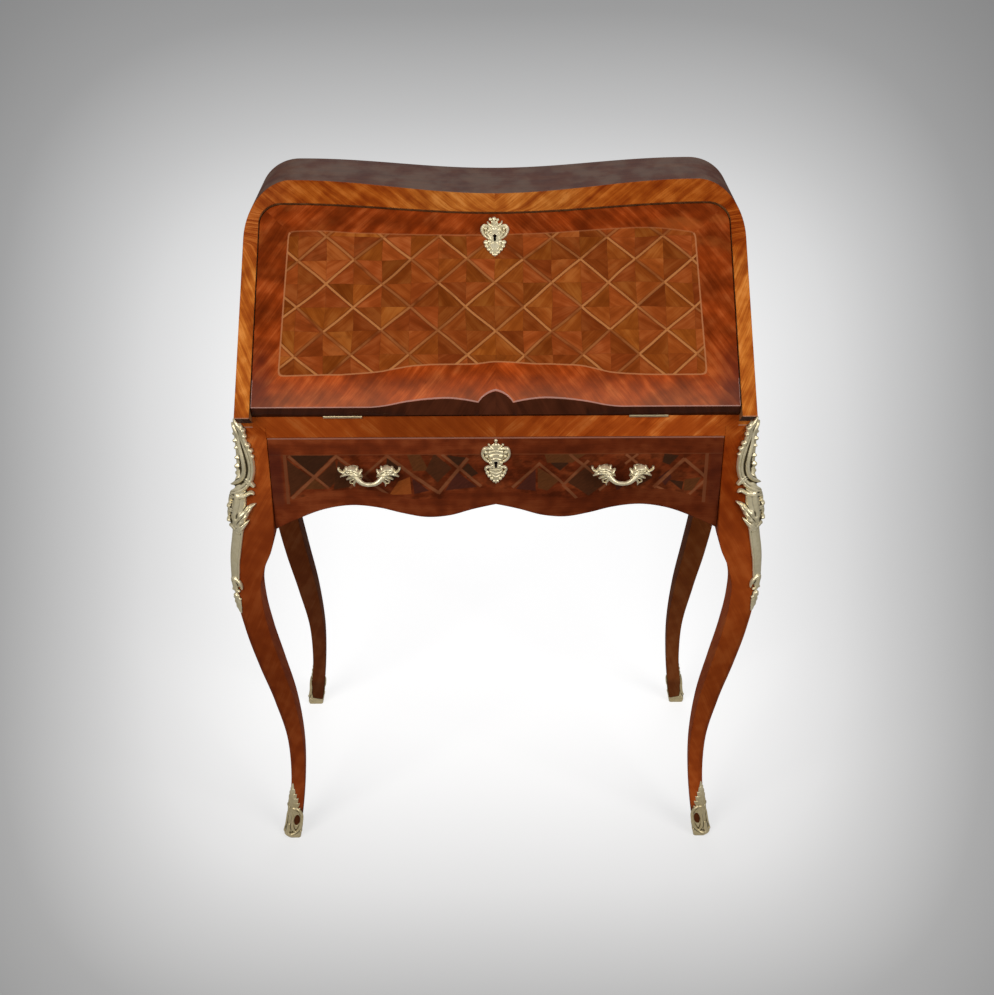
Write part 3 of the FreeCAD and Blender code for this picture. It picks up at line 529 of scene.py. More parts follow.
def let_in(board, rooms):
    """Cut rooms with flat sides out of a board. Each room is the four corners of its low end in
    mm, then the four of its high end in the same order."""
    for low, high in rooms:
        grid = np.stack([low, high])
        block = skin("room", [(np.concatenate([grid, grid[:, :1]], 1), 0)], [],
                     [(low, 0), (high, 0)])
        cut = board.modifiers.new("room", "BOOLEAN")
        cut.operation, cut.solver, cut.object = "DIFFERENCE", "EXACT", block
        whole, graph = board.data, bpy.context.evaluated_depsgraph_get()
        board.data = bpy.data.meshes.new_from_object(board.evaluated_get(graph), depsgraph=graph)
        board.modifiers.clear()
        board.data.name = board.name
        board.data.set_sharp_from_angle(angle=math.radians(40.0))
        bpy.data.meshes.remove(whole)
        room = block.data
        bpy.data.objects.remove(block)
        bpy.data.meshes.remove(room)


def inset(outline, amount):
    """Closed outline moved in by amount, along the mean of its neighbouring edges' normals."""
    ahead = unit(np.roll(outline, -1, 0) - outline)
    behind = unit(outline - np.roll(outline, 1, 0))
    corner = unit(ahead + behind)
    stretch = 1 / np.maximum(np.sum(corner * ahead, -1, keepdims=True), 0.5)
    return outline + amount * stretch * np.stack([-corner[:, 1], corner[:, 0]], -1)


low_edge = 5.5
bow = flow([(165 * a, low_edge + 13 * h)
            for a, h in ((1, 0), (0.9, 0.14), (0.72, 0.62), (0.54, 0.92), (0.36, 1), (0.24, 0.8),
                         (0.1394, 0.52))], 40)
notch = flow([(23 * a, low_edge + 24.5 * h)
              for a, h in ((1, 0.276), (0.86, 0.48), (0.5, 0.8), (0, 1))], 12)
half_edge = np.concatenate([[(fall_half, low_edge)], bow, notch[1:]])
low_line = np.concatenate([half_edge * (-1, 1), half_edge[-2::-1]])
fall_outline = np.concatenate([low_line, wavy_top(fall_half, 30.0, 290.5, 15.0, 20)[::-1]])
on_low_line = np.arange(len(fall_outline)) < len(low_line)
# The inner face is straight below. The lower edge leans out to its curve from swell_from up.
straight_low, swell_from = 0.3, 5.0
rings = []
for rise, cut in ((0.1, 0.25), (0.35, 0.0), (swell_from, 0.0), (18.8, 0.0), (19.3, 0.12),
                  (19.7, 0.4), (19.92, 0.75), (fall_thick, 1.2), (fall_thick, 2.0)):
    ring = inset(fall_outline, cut)
    share = min(max((rise - swell_from) / (fall_thick - swell_from), 0.0), 1.0)
    ring[on_low_line, 1] += (straight_low - fall_outline[on_low_line, 1]) * (1 - share)
    rings.append(on_slope(*ring.T, rise))

marquetry = Finish("fall_marquetry")
x, y, z = marquetry.place()
s = (y - hinge_y) * math.cos(slope) + (z - hinge_z) * math.sin(slope)
n = (z - hinge_z) * math.cos(slope) - (y - hinge_y) * math.sin(slope)
# The panel's edge: a thin light string on straight sides and gently waved top and bottom.
panel_top = marquetry.line(x, 240.0, 280.0, [(-324, 262), (-250, 265), (-200, 262), (-150, 260),
                                             (-100, 258.5), (0, 258), (85, 261), (138, 265),
                                             (217, 268), (275, 261), (324, 258)])
panel_low = marquetry.line(x, 40.0, 80.0, [(-324, 50), (-289, 50.5), (-230, 52), (-200, 52.5),
                                           (-150, 57), (-120, 63), (-90, 66), (-25, 67), (0, 70),
                                           (50, 67), (80, 66), (120, 63), (150, 55), (200, 51),
                                           (324, 51)])
from_side = (x + 290.4 - s * 0.028).least(282.5 - s * 0.028 - x)
from_end = (panel_top - s).least(s - panel_low)
within = from_side.math("SMOOTH_MIN", from_end, 12.0)
field = within.between(-0.1, 0.1)
# The trellis: light strings on both diagonals, a little out of true, and quartered tiles.
sway = marquetry.noise(x * 0.011, s * 0.011, 1.3, 1.0) - 0.5
drift = marquetry.noise(x * 0.011, s * 0.011, 7.7, 1.0) - 0.5
tile_wide, tile_high, field_middle = 38.4, 35.0, 150.0
string_pitch = 51.7
across = (x + sway * 9.0) / tile_wide
up = (s - field_middle + drift * 9.0) / tile_high
first, second = [(across + up) * 0.5 + 0.5, (across - up) * 0.5 + 0.5]
first_part, second_part = first.fraction(), second.fraction()
from_first, from_second = [(0.5 - abs(part - 0.5)) * string_pitch
                           for part in (first_part, second_part)]
worn = marquetry.noise(x * 0.03, s * 0.03, 4.4, 2.0)
near = from_first.least(from_second)
turned = from_first < from_second
span = marquetry.chance(marquetry.choose(turned, first, first + 0.5).floor(),
                        marquetry.choose(turned, second + 0.5, second).floor(), turned * 5.0)
kept = (worn.between(0.30, 0.55) * 0.35 + span.between(0.12, 0.75) * 0.8).least(1.0)
string = (1.0 - near.between(1.1, 1.9)) * kept
# A painted shadow runs along both sides of each string.
string_shadow = (1.0 - near.between(2.3, 3.6)) * 0.55
to_right, to_top = (first_part + second_part) > 1.0, (first_part - second_part) > 0.0
quarter = to_right + to_top * 2.0
lot = marquetry.chance(first.floor(), second.floor(), quarter)
other_lot = marquetry.chance(first.floor() + 40.0, second.floor(), quarter)
joint = abs(first_part + second_part - 1.0).least(abs(first_part - second_part)) * 37.0
lean = (abs(to_right - to_top) * 2.0 - 1.0) * (0.45 + lot * 0.6)
field_along = x * lean.math("COSINE") + s * lean.math("SINE")
field_across = s * lean.math("COSINE") - x * lean.math("SINE") + other_lot * 170.0
# The border: veneer that leans in towards the middle, mitred at the corners.
wide, hand = abs(x), x.math("SIGN") * 53.0
at_side = from_side < from_end
at_top = s > 160.0
border_lean = marquetry.choose(at_side, marquetry.choose(at_top, 0.93, 0.80), 1.02)
border_along = s * border_lean.math("SINE") - wide * border_lean.math("COSINE")
border_across = wide * border_lean.math("SINE") + s * border_lean.math("COSINE")
border_across = border_across + hand + at_side * 91.0
tone, colour, rough, height = polish(
    marquetry, marquetry.choose(field, border_along, field_along),
    marquetry.choose(field, border_across, field_across),
    [(0.0, (0.195, 0.029, 0.003)), (0.45, (0.290, 0.048, 0.006)), (0.75, (0.37, 0.072, 0.013)),
     (1.0, (0.47, 0.115, 0.028))], stripe=0.085, fine=0.22)
tiles = marquetry.ramp(tone, [(0.0, (0.170, 0.033, 0.0045)), (0.5, (0.225, 0.048, 0.008)),
                              (1.0, (0.290, 0.078, 0.018))])
tiles = marquetry.shade(tiles, marquetry.mix(other_lot, (0.86, 0.80, 0.62), (1.50, 1.56, 1.40)))
tiles = marquetry.shade(tiles, marquetry.mix(lot, (1.06, 0.92, 1.10), (0.97, 1.06, 0.82)))
knots = marquetry.noise(x * 0.05, s * 0.06, 2.2, 3.0).between(0.55, 0.75)
tiles = marquetry.mix(knots * 0.35, tiles, (0.13, 0.026, 0.003))
tiles = marquetry.mix((1.0 - joint.between(0.25, 0.6)) * 0.22, tiles, (0.09, 0.02, 0.005))
tiles = marquetry.mix(string_shadow * 0.8, tiles, (0.12, 0.027, 0.006))
tiles = marquetry.mix(string * 0.9, tiles, (0.52, 0.200, 0.062))
border_light = marquetry.choose(at_side, marquetry.choose(at_top, 1.16, 0.86), 0.84)
border = marquetry.shade(marquetry.shade(colour, border_light), (1.0, 0.86, 0.72))
plain_top = from_end < from_side
edging = (1.0 - abs(within).between(0.7, 1.3)) * marquetry.choose(plain_top * at_top, 0.8, 0.3)
patch = marquetry.noise(x * 0.022, s * 0.03, 9.2, 2.0).between(0.3, 0.72)
border = marquetry.shade(border, 0.74 + patch * 0.52)
glow = marquetry.noise(x * 0.016, s * 0.026, 3.4, 3.0).between(0.44, 0.62) * s.between(190.0, 262.0)
glow = glow * wide.between(190.0, 270.0)
border = marquetry.mix(glow * 0.40, border, (0.46, 0.125, 0.024))
# The light that comes up from below greys the lower border, and the border is darker at its outer
# ends low down.
border = marquetry.mix((1.0 - s.between(4.0, 62.0)) * 0.14, border, (0.62, 0.39, 0.25))
dusk = (1.0 - s.between(10.0, 120.0)) * wide.between(285.0, 312.0)
border = marquetry.mix(dusk * 0.6, border, (0.085, 0.022, 0.020))
face = marquetry.mix(field, border, tiles)
face = marquetry.mix(edging, face, (0.50, 0.19, 0.075))
# A painted highlight runs along the worn arris of the lower edge, and the keyhole is painted black
# for the shade inside it.
arris_light = n.between(19.1, 19.35) * (n < 19.985) * (s < 45.0)
face = marquetry.mix(arris_light * 0.65, face, (0.54, 0.32, 0.27))
fall_key = 255.6
keyhole = x * x + (s - fall_key) * (s - fall_key) < 5.5
keyhole = keyhole.most((abs(x) < 1.6) * (abs(s - fall_key + 4.1) < 4.4))
face = marquetry.mix(keyhole, face, (0.003, 0.002, 0.002))
# The lower end face is dark wood, painted darker still as the shade under the edge.
shaded_end_grain = marquetry.shade((0.066, 0.017, 0.007), 0.7 + tone * 0.6)
face = marquetry.mix(n.between(18.9, 19.25), shaded_end_grain, face)
inner_face = marquetry.ramp(tone, inside_stops)
face = marquetry.mix(n.between(0.3, 0.5), inner_face, face)
cut_joints = (1.0 - near.between(0.0, 0.5)) * field * 0.00002
fall_wood = polished(marquetry, face, rough, height - cut_joints)
fall = plate("fall_board", np.stack(rings), [fall_wood])
# The lock is let in from the back, and the bolt leaves through the upper edge.
lock_x, snug = corners_of("fall_lock")[1][0], 0.05
fall_lock_low, fall_lock_deep = 248.5, 9.0
across_room = np.array([-1, 1, 1, -1])
room_x = across_room * (lock_x + snug)
room_n = np.array([-1, -1, fall_lock_deep + snug, fall_lock_deep + snug])
let_in(fall, [[on_slope(room_x, np.full(4, end), room_n) for end in (fall_lock_low - snug, 300.0)]])
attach(fall, "fall")
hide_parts("fall_panel")

# Four cabriole legs, each one piece of mahogany from the corner post down to the foot, sawn
# to two curved templates and veneered. The outer corner is cut off flat.
post_x, post_y, middle_y = case_half, corners_of("frieze_rail")[0][1], 6.0
leg_foot, leg_top = [corner[2] for corner in corners_of("front_right_leg")]
leg_length = 556.0
outer_rows = np.array([(1.143, 0, 0), (1, .60, .56), (.90, .94, .90), (.80, .96, .97),
                       (.70, .70, .78), (.58, .20, .39), (.45, -.46, 0), (.30, -1, -.19),
                       (.18, -.98, -.08), (.08, -.72, .28), (0, -.44, .61)])[::-1]
inner_rows = np.array([(1, 1, 1), (.955, .87, .892), (.905, .56, .676), (.848, .34, .527),
                       (.786, .35, .527), (.70, .50, .595), (.58, .81, .757), (.45, 1.155, .838),
                       (.30, 1.325, .743), (.18, 1.243, .635), (.08, 1.08, .46),
                       (0, .892, .297)])[::-1]
post_foot = 639.5
leg_z = np.concatenate([np.linspace(leg_foot, post_foot, 110),
                        np.linspace(post_foot, leg_top, 10)[1:]])


def at_height(rows, column):
    """Value of a template's column at each height of the leg, on a smooth line through rows."""
    line = flow(np.stack([leg_foot + leg_length * rows[:, 0], rows[:, column] * 100], -1), 400)
    return np.interp(leg_z, line[:, 0], line[:, 1]) / 100


def round_section(corners, radii, steps=5):
    """Closed sections with rounded corners. corners is rows x corners x 2, and each corner
    becomes a curve of the second degree that starts and ends its radius away from it."""
    ahead = unit(np.roll(corners, -1, 1) - corners)
    behind = unit(np.roll(corners, 1, 1) - corners)
    t = np.linspace(0, 1, steps)[:, None]
    parts = []
    for k, radius in enumerate(radii):
        corner = corners[:, k][:, None]
        start, end = corner + radius * behind[:, k][:, None], corner + radius * ahead[:, k][:, None]
        parts.append((1 - t) ** 2 * start + 2 * t * (1 - t) * corner + t ** 2 * end)
    return np.concatenate(parts, 1)


out_x, out_y = post_x + 25 * at_height(outer_rows, 1), post_y - 18 * at_height(outer_rows, 2)
in_x, in_y = post_x - 37 * at_height(inner_rows, 1), post_y + 37 * at_height(inner_rows, 2)
cant = 7.0
leg_corners = np.stack([np.stack([in_x, out_y], -1), np.stack([out_x - cant, out_y], -1),
                        np.stack([out_x, out_y + cant], -1), np.stack([out_x, in_y], -1),
                        np.stack([in_x, in_y], -1)], 1)
leg_section = round_section(leg_corners, (1.2, 2.5, 2.5, 1.2, 1.2))

leg_finish = Finish("kingwood_legs")
x, y, z = leg_finish.place()
wide, hand = abs(x), x.math("SIGN") * 61.0 + (y > middle_y) * 83.0
lean = 0.46
along = z * math.cos(lean) - wide * math.sin(lean)
across = wide * math.cos(lean) + z * math.sin(lean) + y * 0.8
tone, colour, rough, height = polish(leg_finish, along + hand, across + hand, [
    (0.0, (0.26, 0.036, 0.004)), (0.4, (0.37, 0.060, 0.007)), (0.75, (0.45, 0.088, 0.012)),
    (1.0, (0.55, 0.140, 0.026))], stripe=0.07, fine=0.18)
middle = leg_finish.ramp(tone, [(0.0, (0.185, 0.026, 0.004)), (0.5, (0.225, 0.034, 0.005)),
                                (1.0, (0.275, 0.050, 0.009))])
colour = leg_finish.mix(z.between(560.0, 690.0), middle, colour)
# Each leg darkens over the calf and is lighter again above the shoe. The right one is lighter
# below and darker at the post.
calf = leg_finish.line(z, 0.0, 2.0, [(0, 1.35), (110, 1.25), (230, 1.0), (330, 0.95), (450, 1.15),
                                     (560, 1.1), (640, 1.0), (720, 1.0)])
right_tint = leg_finish.mix(z.between(520.0, 640.0), (1.35, 1.60, 1.60), (0.80, 0.72, 0.60))
left_tint = leg_finish.mix(z.between(520.0, 660.0), (1.0, 1.15, 1.35), (1.30, 1.60, 2.00))
colour = leg_finish.shade(leg_finish.shade(colour, calf),
                          leg_finish.mix(x > 0.0, left_tint, right_tint))
# The back legs are painted darker, as the shade they stand in.
back_shade = leg_finish.mix((y > middle_y) * 1.0, (1.0, 1.0, 1.0), (0.52, 0.72, 1.1))
colour = leg_finish.shade(colour, back_shade)
# Inside the sabots the leg is painted near black, as the shade seen through the shoes' eyes; more
# on the back legs.
shoe_shade = (1.0 - z.between(46.0, 62.0)) * leg_finish.choose(y > middle_y, 0.85, 0.35)
colour = leg_finish.mix(shoe_shade, colour, (0.040, 0.016, 0.006))
# The post's top is veneered on across the frieze.
frieze_stops = [(0.0, (0.23, 0.032, 0.003)), (0.4, (0.36, 0.062, 0.007)),
                (0.75, (0.48, 0.105, 0.014)), (1.0, (0.62, 0.19, 0.04))]
hand = x.math("SIGN") * 51.0
top_along = wide * 0.72 + z * 0.7 + hand
top_across = wide * 0.7 - z * 0.72 + y * 0.8 + hand
_, top_colour, _, _ = polish(leg_finish, top_along, top_across, frieze_stops, stripe=0.09,
                             fine=0.26)
colour = leg_finish.mix(z.between(694.0, 712.0), colour, top_colour)
leg_wood = polished(leg_finish, colour, rough, height, 0.05, 0.15)
# The legs' names, with the side and the end of the desk where each stands.
leg_places = (("front_right", 1, 1), ("front_left", -1, 1), ("back_right", 1, -1),
              ("back_left", -1, -1))
for name, side, end in leg_places:
    section = leg_section * (side, 1)
    section[..., 1] = section[..., 1] if end > 0 else 2 * middle_y - section[..., 1]
    section = np.concatenate([section, section[:, :1]], 1)
    grid = np.concatenate([section, np.broadcast_to(leg_z[:, None, None], (*section.shape[:2], 1))],
                          -1)
    leg = skin(name + "_cabriole_leg", [(grid, 0)], [leg_wood],
               [(grid[0, :-1], 0), (grid[-1, :-1], 0)])
    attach(leg, "case")
    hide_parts(name + "_leg")

# The frieze rail under the fall and the three scalloped aprons are boards let in between the
# legs. They are veneered like the legs.
frieze = Finish("tulipwood_frieze")
x, y, z = frieze.place()
wide, hand = abs(x), x.math("SIGN") * 51.0
rail_along = wide * 0.72 + z * 0.7 + hand
rail_across = wide * 0.7 - z * 0.72 + y * 0.8 + hand
_, colour, rough, height = polish(frieze, rail_along, rail_across, frieze_stops, stripe=0.09,
                                  fine=0.26)
# The rail's figure is calm, with a few flames on the right.
flames = frieze.noise(x * 0.022, z * 0.04, 4.9, 2.0).between(0.40, 0.62) * x.between(-80.0, 140.0)
colour = frieze.mix(0.62 - flames * 0.60, colour, (0.35, 0.062, 0.0075))
lighter = frieze.line(x, 0.0, 2.0, [(-345, 1.0), (-220, 1.05), (-120, 0.80), (0, 0.92), (120, 1.20),
                                    (250, 1.28), (345, 1.05)])
frieze_wood = polished(frieze, frieze.shade(colour, lighter), rough, height, 0.06)


def cover(names, material):
    """Give the frame's own nodes of these names a material."""
    for name in names:
        frame["nodes"][name].data.materials.clear()
        frame["nodes"][name].data.materials.append(material)


cover(("frieze_rail", "back_apron", "left_side_apron", "right_side_apron"), frieze_wood)

# The drawer front is one scalloped board with dark trellis marquetry. It closes flush
# between the legs, under the frieze rail.
(_, front_plane, drawer_low), (drawer_half, front_back, drawer_top) = corners_of("drawer_front")
scallop = 39.0
half_scallop = flow([(drawer_half * a, drawer_low + scallop * h)
                     for a, h in ((1, 0), (.89, .45), (.77, .83), (.65, .985), (.52, .87),
                                  (.42, .65), (.31, .485), (.21, .55), (.10, .81), (0, 1))], 70)
scallop_line = np.concatenate([half_scallop * (-1, 1), half_scallop[-2::-1]])
top_line = np.stack([np.linspace(drawer_half, -drawer_half, 30), np.full(30, drawer_top)], -1)
drawer_outline = np.concatenate([scallop_line, top_line])
front_thick = front_back - front_plane
rings = []
for depth, cut in ((front_thick, 0.3), (front_thick - 0.3, 0.0), (0.9, 0.0), (0.5, 0.08),
                   (0.2, 0.3), (0.0, 0.8), (0.0, 1.6)):
    ring = inset(drawer_outline, cut)
    rings.append(np.stack([ring[:, 0], np.full(len(ring), front_plane + depth), ring[:, 1]], -1))
dark = Finish("drawer_marquetry")
x, y, z = dark.place()
tone, colour, rough, height = polish(dark, x, z,
                                     [(0.0, (0.105, 0.018, 0.005)), (0.5, (0.155, 0.027, 0.007)),
                                      (1.0, (0.215, 0.046, 0.013))], stripe=0.05, fine=0.16)
string_wood = (0.225, 0.072, 0.028)
strings = ((-281, 675, -229, 625, 3.8), (-281, 609, -215, 676, 4.4), (-215, 674, -149, 616, 3.8),
           (-200, 626, -149, 674, 3.6), (-150, 676, -79, 617, 4.6), (-80, 616, -38, 671, 4.6),
           (-73, 677, -20, 628, 4.0), (22, 625, 61, 664, 3.8), (58, 664, 92, 630, 3.4),
           (92, 629, 126, 667, 3.8), (91, 629, 111, 608, 3.8), (100, 677, 155, 629, 4.0),
           (141, 620, 158, 636, 3.4), (176, 676, 192, 662, 3.2), (176, 662, 192, 676, 3.2),
           (216, 625, 256, 669, 5.0), (255, 669, 285, 641, 4.0), (216, 628, 245, 614, 3.0),
           (266, 614, 287, 637, 3.6))
# Tiles: the wood's colour, then the corners in order round the tile.
very_dark, dark_brown, plum = (0.036, 0.015, 0.007), (0.060, 0.020, 0.008), (0.060, 0.016, 0.010)
olive, amber = (0.100, 0.033, 0.010), (0.27, 0.066, 0.013)
tiles = ((very_dark, (-278, 676), (-220, 676), (-249, 645)),
         (dark_brown, (-283, 670), (-252, 642), (-283, 612)),
         (dark_brown, (-246, 640), (-218, 668), (-214, 640), (-228, 626)),
         (olive, (-249, 640), (-232, 624), (-262, 624)),
         (dark_brown, (-214, 668), (-196, 652), (-200, 628), (-222, 624)),
         (very_dark, (-148, 672), (-128, 656), (-140, 636), (-152, 640)),
         (amber, (-117, 643), (-116, 616), (-146, 615), (-133, 636)),
         (plum, (-114, 641), (-92, 621), (-112, 616)),
         (olive, (-122, 679), (-104, 679), (-92, 652), (-112, 652)),
         (dark_brown, (-84, 678), (-60, 656), (-80, 634), (-96, 652)),
         (very_dark, (-66, 676), (-40, 672), (-53, 658)),
         (plum, (-53, 650), (-26, 627), (-70, 621)),
         (very_dark, (-46, 654), (-38, 664), (-24, 648), (-38, 640)),
         (plum, (27, 623), (54, 654), (54, 620)),
         (olive, (57, 657), (86, 636), (70, 620), (57, 624)),
         (very_dark, (87, 675), (99, 663), (87, 651), (75, 663)),
         (olive, (66, 677), (122, 677), (104, 664), (70, 664)),
         (dark_brown, (127, 660), (156, 637), (127, 612), (96, 634)),
         (plum, (160, 640), (178, 632), (166, 618)),
         (very_dark, (228, 677), (248, 674), (236, 660), (226, 664)),
         (very_dark, (237, 637), (257, 634), (255, 621)),
         (olive, (258, 637), (280, 640), (270, 620), (258, 620)),
         (dark_brown, (190, 664), (214, 640), (196, 628)),
         (plum, (222, 640), (236, 652), (240, 640), (232, 628)))
sway = dark.noise(x * 0.02, z * 0.02, 6.1, 1.0) - 0.5
field_x, field_z = x + sway * 3.0, z + sway * 3.0


def beside(x0, z0, x1, z1):
    """Distance to the left of the line from one point to another, in mm."""
    length = math.hypot(x1 - x0, z1 - z0)
    along_x, along_z = (x1 - x0) / length, (z1 - z0) / length
    return field_z * along_x - field_x * along_z + (x0 * along_z - z0 * along_x)


# Random darker and lighter patches in the trellis's ground, which is also darker from 120 to 260 mm
# right of the middle.
ground_patches = dark.noise(x * 0.06, z * 0.08, 8.3, 2.0).between(0.36, 0.60)
mosaic = dark.shade(colour, 0.56 + ground_patches * 0.40 - x.between(120.0, 260.0) * 0.08)
grain = 0.72 + dark.noise(x * 0.09 + z * 0.05, z * 0.3 - x * 0.2, 3.1, 2.0) * 0.56
for wood, *corners in tiles:
    outside = None
    for (x0, z0), (x1, z1) in zip(corners, corners[1:] + corners[:1]):
        side = beside(x0, z0, x1, z1)
        outside = side if outside is None else outside.most(side)
    mosaic = dark.mix((1.0 - outside.between(-0.7, 0.9)) * 0.92, mosaic, wood)
mosaic = dark.shade(mosaic, grain * 1.18)
near = None
for x0, z0, x1, z1, wide in strings:
    middle_x, middle_z, half = (x0 + x1) / 2, (z0 + z1) / 2, math.hypot(x1 - x0, z1 - z0) / 2
    past = abs(beside(middle_x, middle_z, middle_x + z1 - z0, middle_z - x1 + x0)) - half
    gap = (abs(beside(x0, z0, x1, z1)) - wide / 2).most(past)
    near = gap if near is None else near.least(gap)
worn = dark.noise(x * 0.05, z * 0.05, 2.9, 2.0).between(0.28, 0.5)
mosaic = dark.mix((1.0 - near.between(-0.6, 0.7)) * (0.48 + worn * 0.5), mosaic,
                  dark.shade(string_wood, 0.75 + tone * 0.5))
# The trellis ends at a faint string along the top and follows the scallop below.
floor_line = dark.line(x, 590.0, 640.0, [(-300, 606), (-286, 607), (-240, 619), (-196, 623),
                                         (-160, 620), (-113, 608), (-60, 611), (-13, 626),
                                         (21, 621), (77, 610), (110, 608), (160, 620), (210, 623),
                                         (250, 618), (287, 607)])
trellis_top = 677.0
inside = (z < trellis_top) * (z > floor_line) * (abs(x) < 284.0)
border_light = (1.0 - (z < 640.0) * 0.08) * dark.choose(x.between(-200.0, 200.0), 1.30, 0.92)
border = dark.shade(colour, border_light)
colour = dark.mix(inside, border, mosaic)
colour = dark.mix((1.0 - abs(z - trellis_top).between(0.5, 1.1)) * 0.35, colour, string_wood)
upright = 1.0 - (abs(abs(x) - 286.0) - 2.2).between(-0.2, 0.4)
upright = upright * (z < trellis_top) * (z > 601.0)
colour = dark.mix(upright * 0.8, colour, (0.20, 0.062, 0.024))
end_shade = abs(x).between(286.0, 294.0) * z.between(584.0, 612.0) * (1.0 - z.between(676.0, 692.0))
colour = dark.mix(end_shade * dark.choose(x > 0.0, 0.55, 0.25), colour, (0.044, 0.009, 0.009))
# A painted highlight runs along the drawer's top arris.
top_highlight = z.between(700.2, 701.0) * 0.8
colour = dark.mix(top_highlight, colour, (0.36, 0.15, 0.10))
drawer_key = 664.0
# The keyhole is painted black for the shade inside it.
keyhole = x * x + (z - drawer_key) * (z - drawer_key) < 5.0
keyhole = keyhole.most((abs(x) < 1.4) * (abs(z - drawer_key + 4.0) < 4.2))
colour = dark.mix(keyhole, colour, (0.003, 0.002, 0.002))
edge = (y - front_plane).between(1.0, 2.0)
colour = dark.mix(edge, colour, dark.shade((0.12, 0.045, 0.016), 0.7 + tone * 0.6))
drawer_wood = polished(dark, colour, rough, height, 0.08)
front = plate("drawer_board", np.stack(rings), [drawer_wood])
# The lock's room opens to the back. A slot in the top lets the bolt out.
(_, lock_front, lock_low), (lock_x, _, lock_top) = corners_of("drawer_lock")
(_, bolt_front, _), (bolt_x, bolt_back, _) = corners_of("drawer_lock_bolt")
slack, lock_deep = 0.4, front_back - lock_front
slot_y = np.array([bolt_front - slack] * 2 + [bolt_back + slack] * 2)
room_x = across_room * (lock_x + snug)
room_y = np.array([0, 0, 1, 1]) * (lock_deep + snug + 1.0) + front_back - lock_deep - snug
let_in(front, [
    [np.stack([room_x, room_y, np.full(4, end)], -1) for end in (lock_low - snug, lock_top + snug)],
    [np.stack([across_room * (bolt_x + slack), slot_y, np.full(4, end)], -1)
     for end in (lock_top - 2.0, drawer_top + 1.8)]])
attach(front, "drawer")
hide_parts("drawer_front")

# The mounts are gilt bronze, cast in sand, chased, and burnished on the high places, with
# dark gilding left in the hollows. Two corner mounts clasp the front corners from the posts
# down over the knees: a flame, an openwork scroll, leaves, a strap and a hanging bud.
gilt = Finish("gilt_bronze")
hollow = gilt.node("Attribute", {"attribute_name": "hollow"}, {}, "Fac")
x, y, z = gilt.place()
cloud = gilt.noise(x * 0.16, y * 0.16, z * 0.16, 3.0)
grit = gilt.noise(x * 2.2, y * 2.2, z * 2.2, 2.0)
bright = gilt.mix(cloud.between(0.3, 0.7), (1.0, 0.89, 0.61), (0.88, 0.77, 0.49))
low = gilt.mix(z.between(60.0, 110.0), (0.62, 0.58, 0.50), (1.0, 1.0, 1.0))
# The hollows take dark gilding, and in the corner mounts' eyes the same dark tint is painted shade.
tint = gilt.mix((hollow + (grit - 0.5) * 0.25).between(0.14, 0.72), gilt.shade(bright, low),
                (0.070, 0.048, 0.018))
gilt_bronze = gilt.surface(base_color=tint, metallic=0.62, height=grit * 0.00003,
                           roughness=0.32 + cloud * 0.12 + hollow * 0.25)


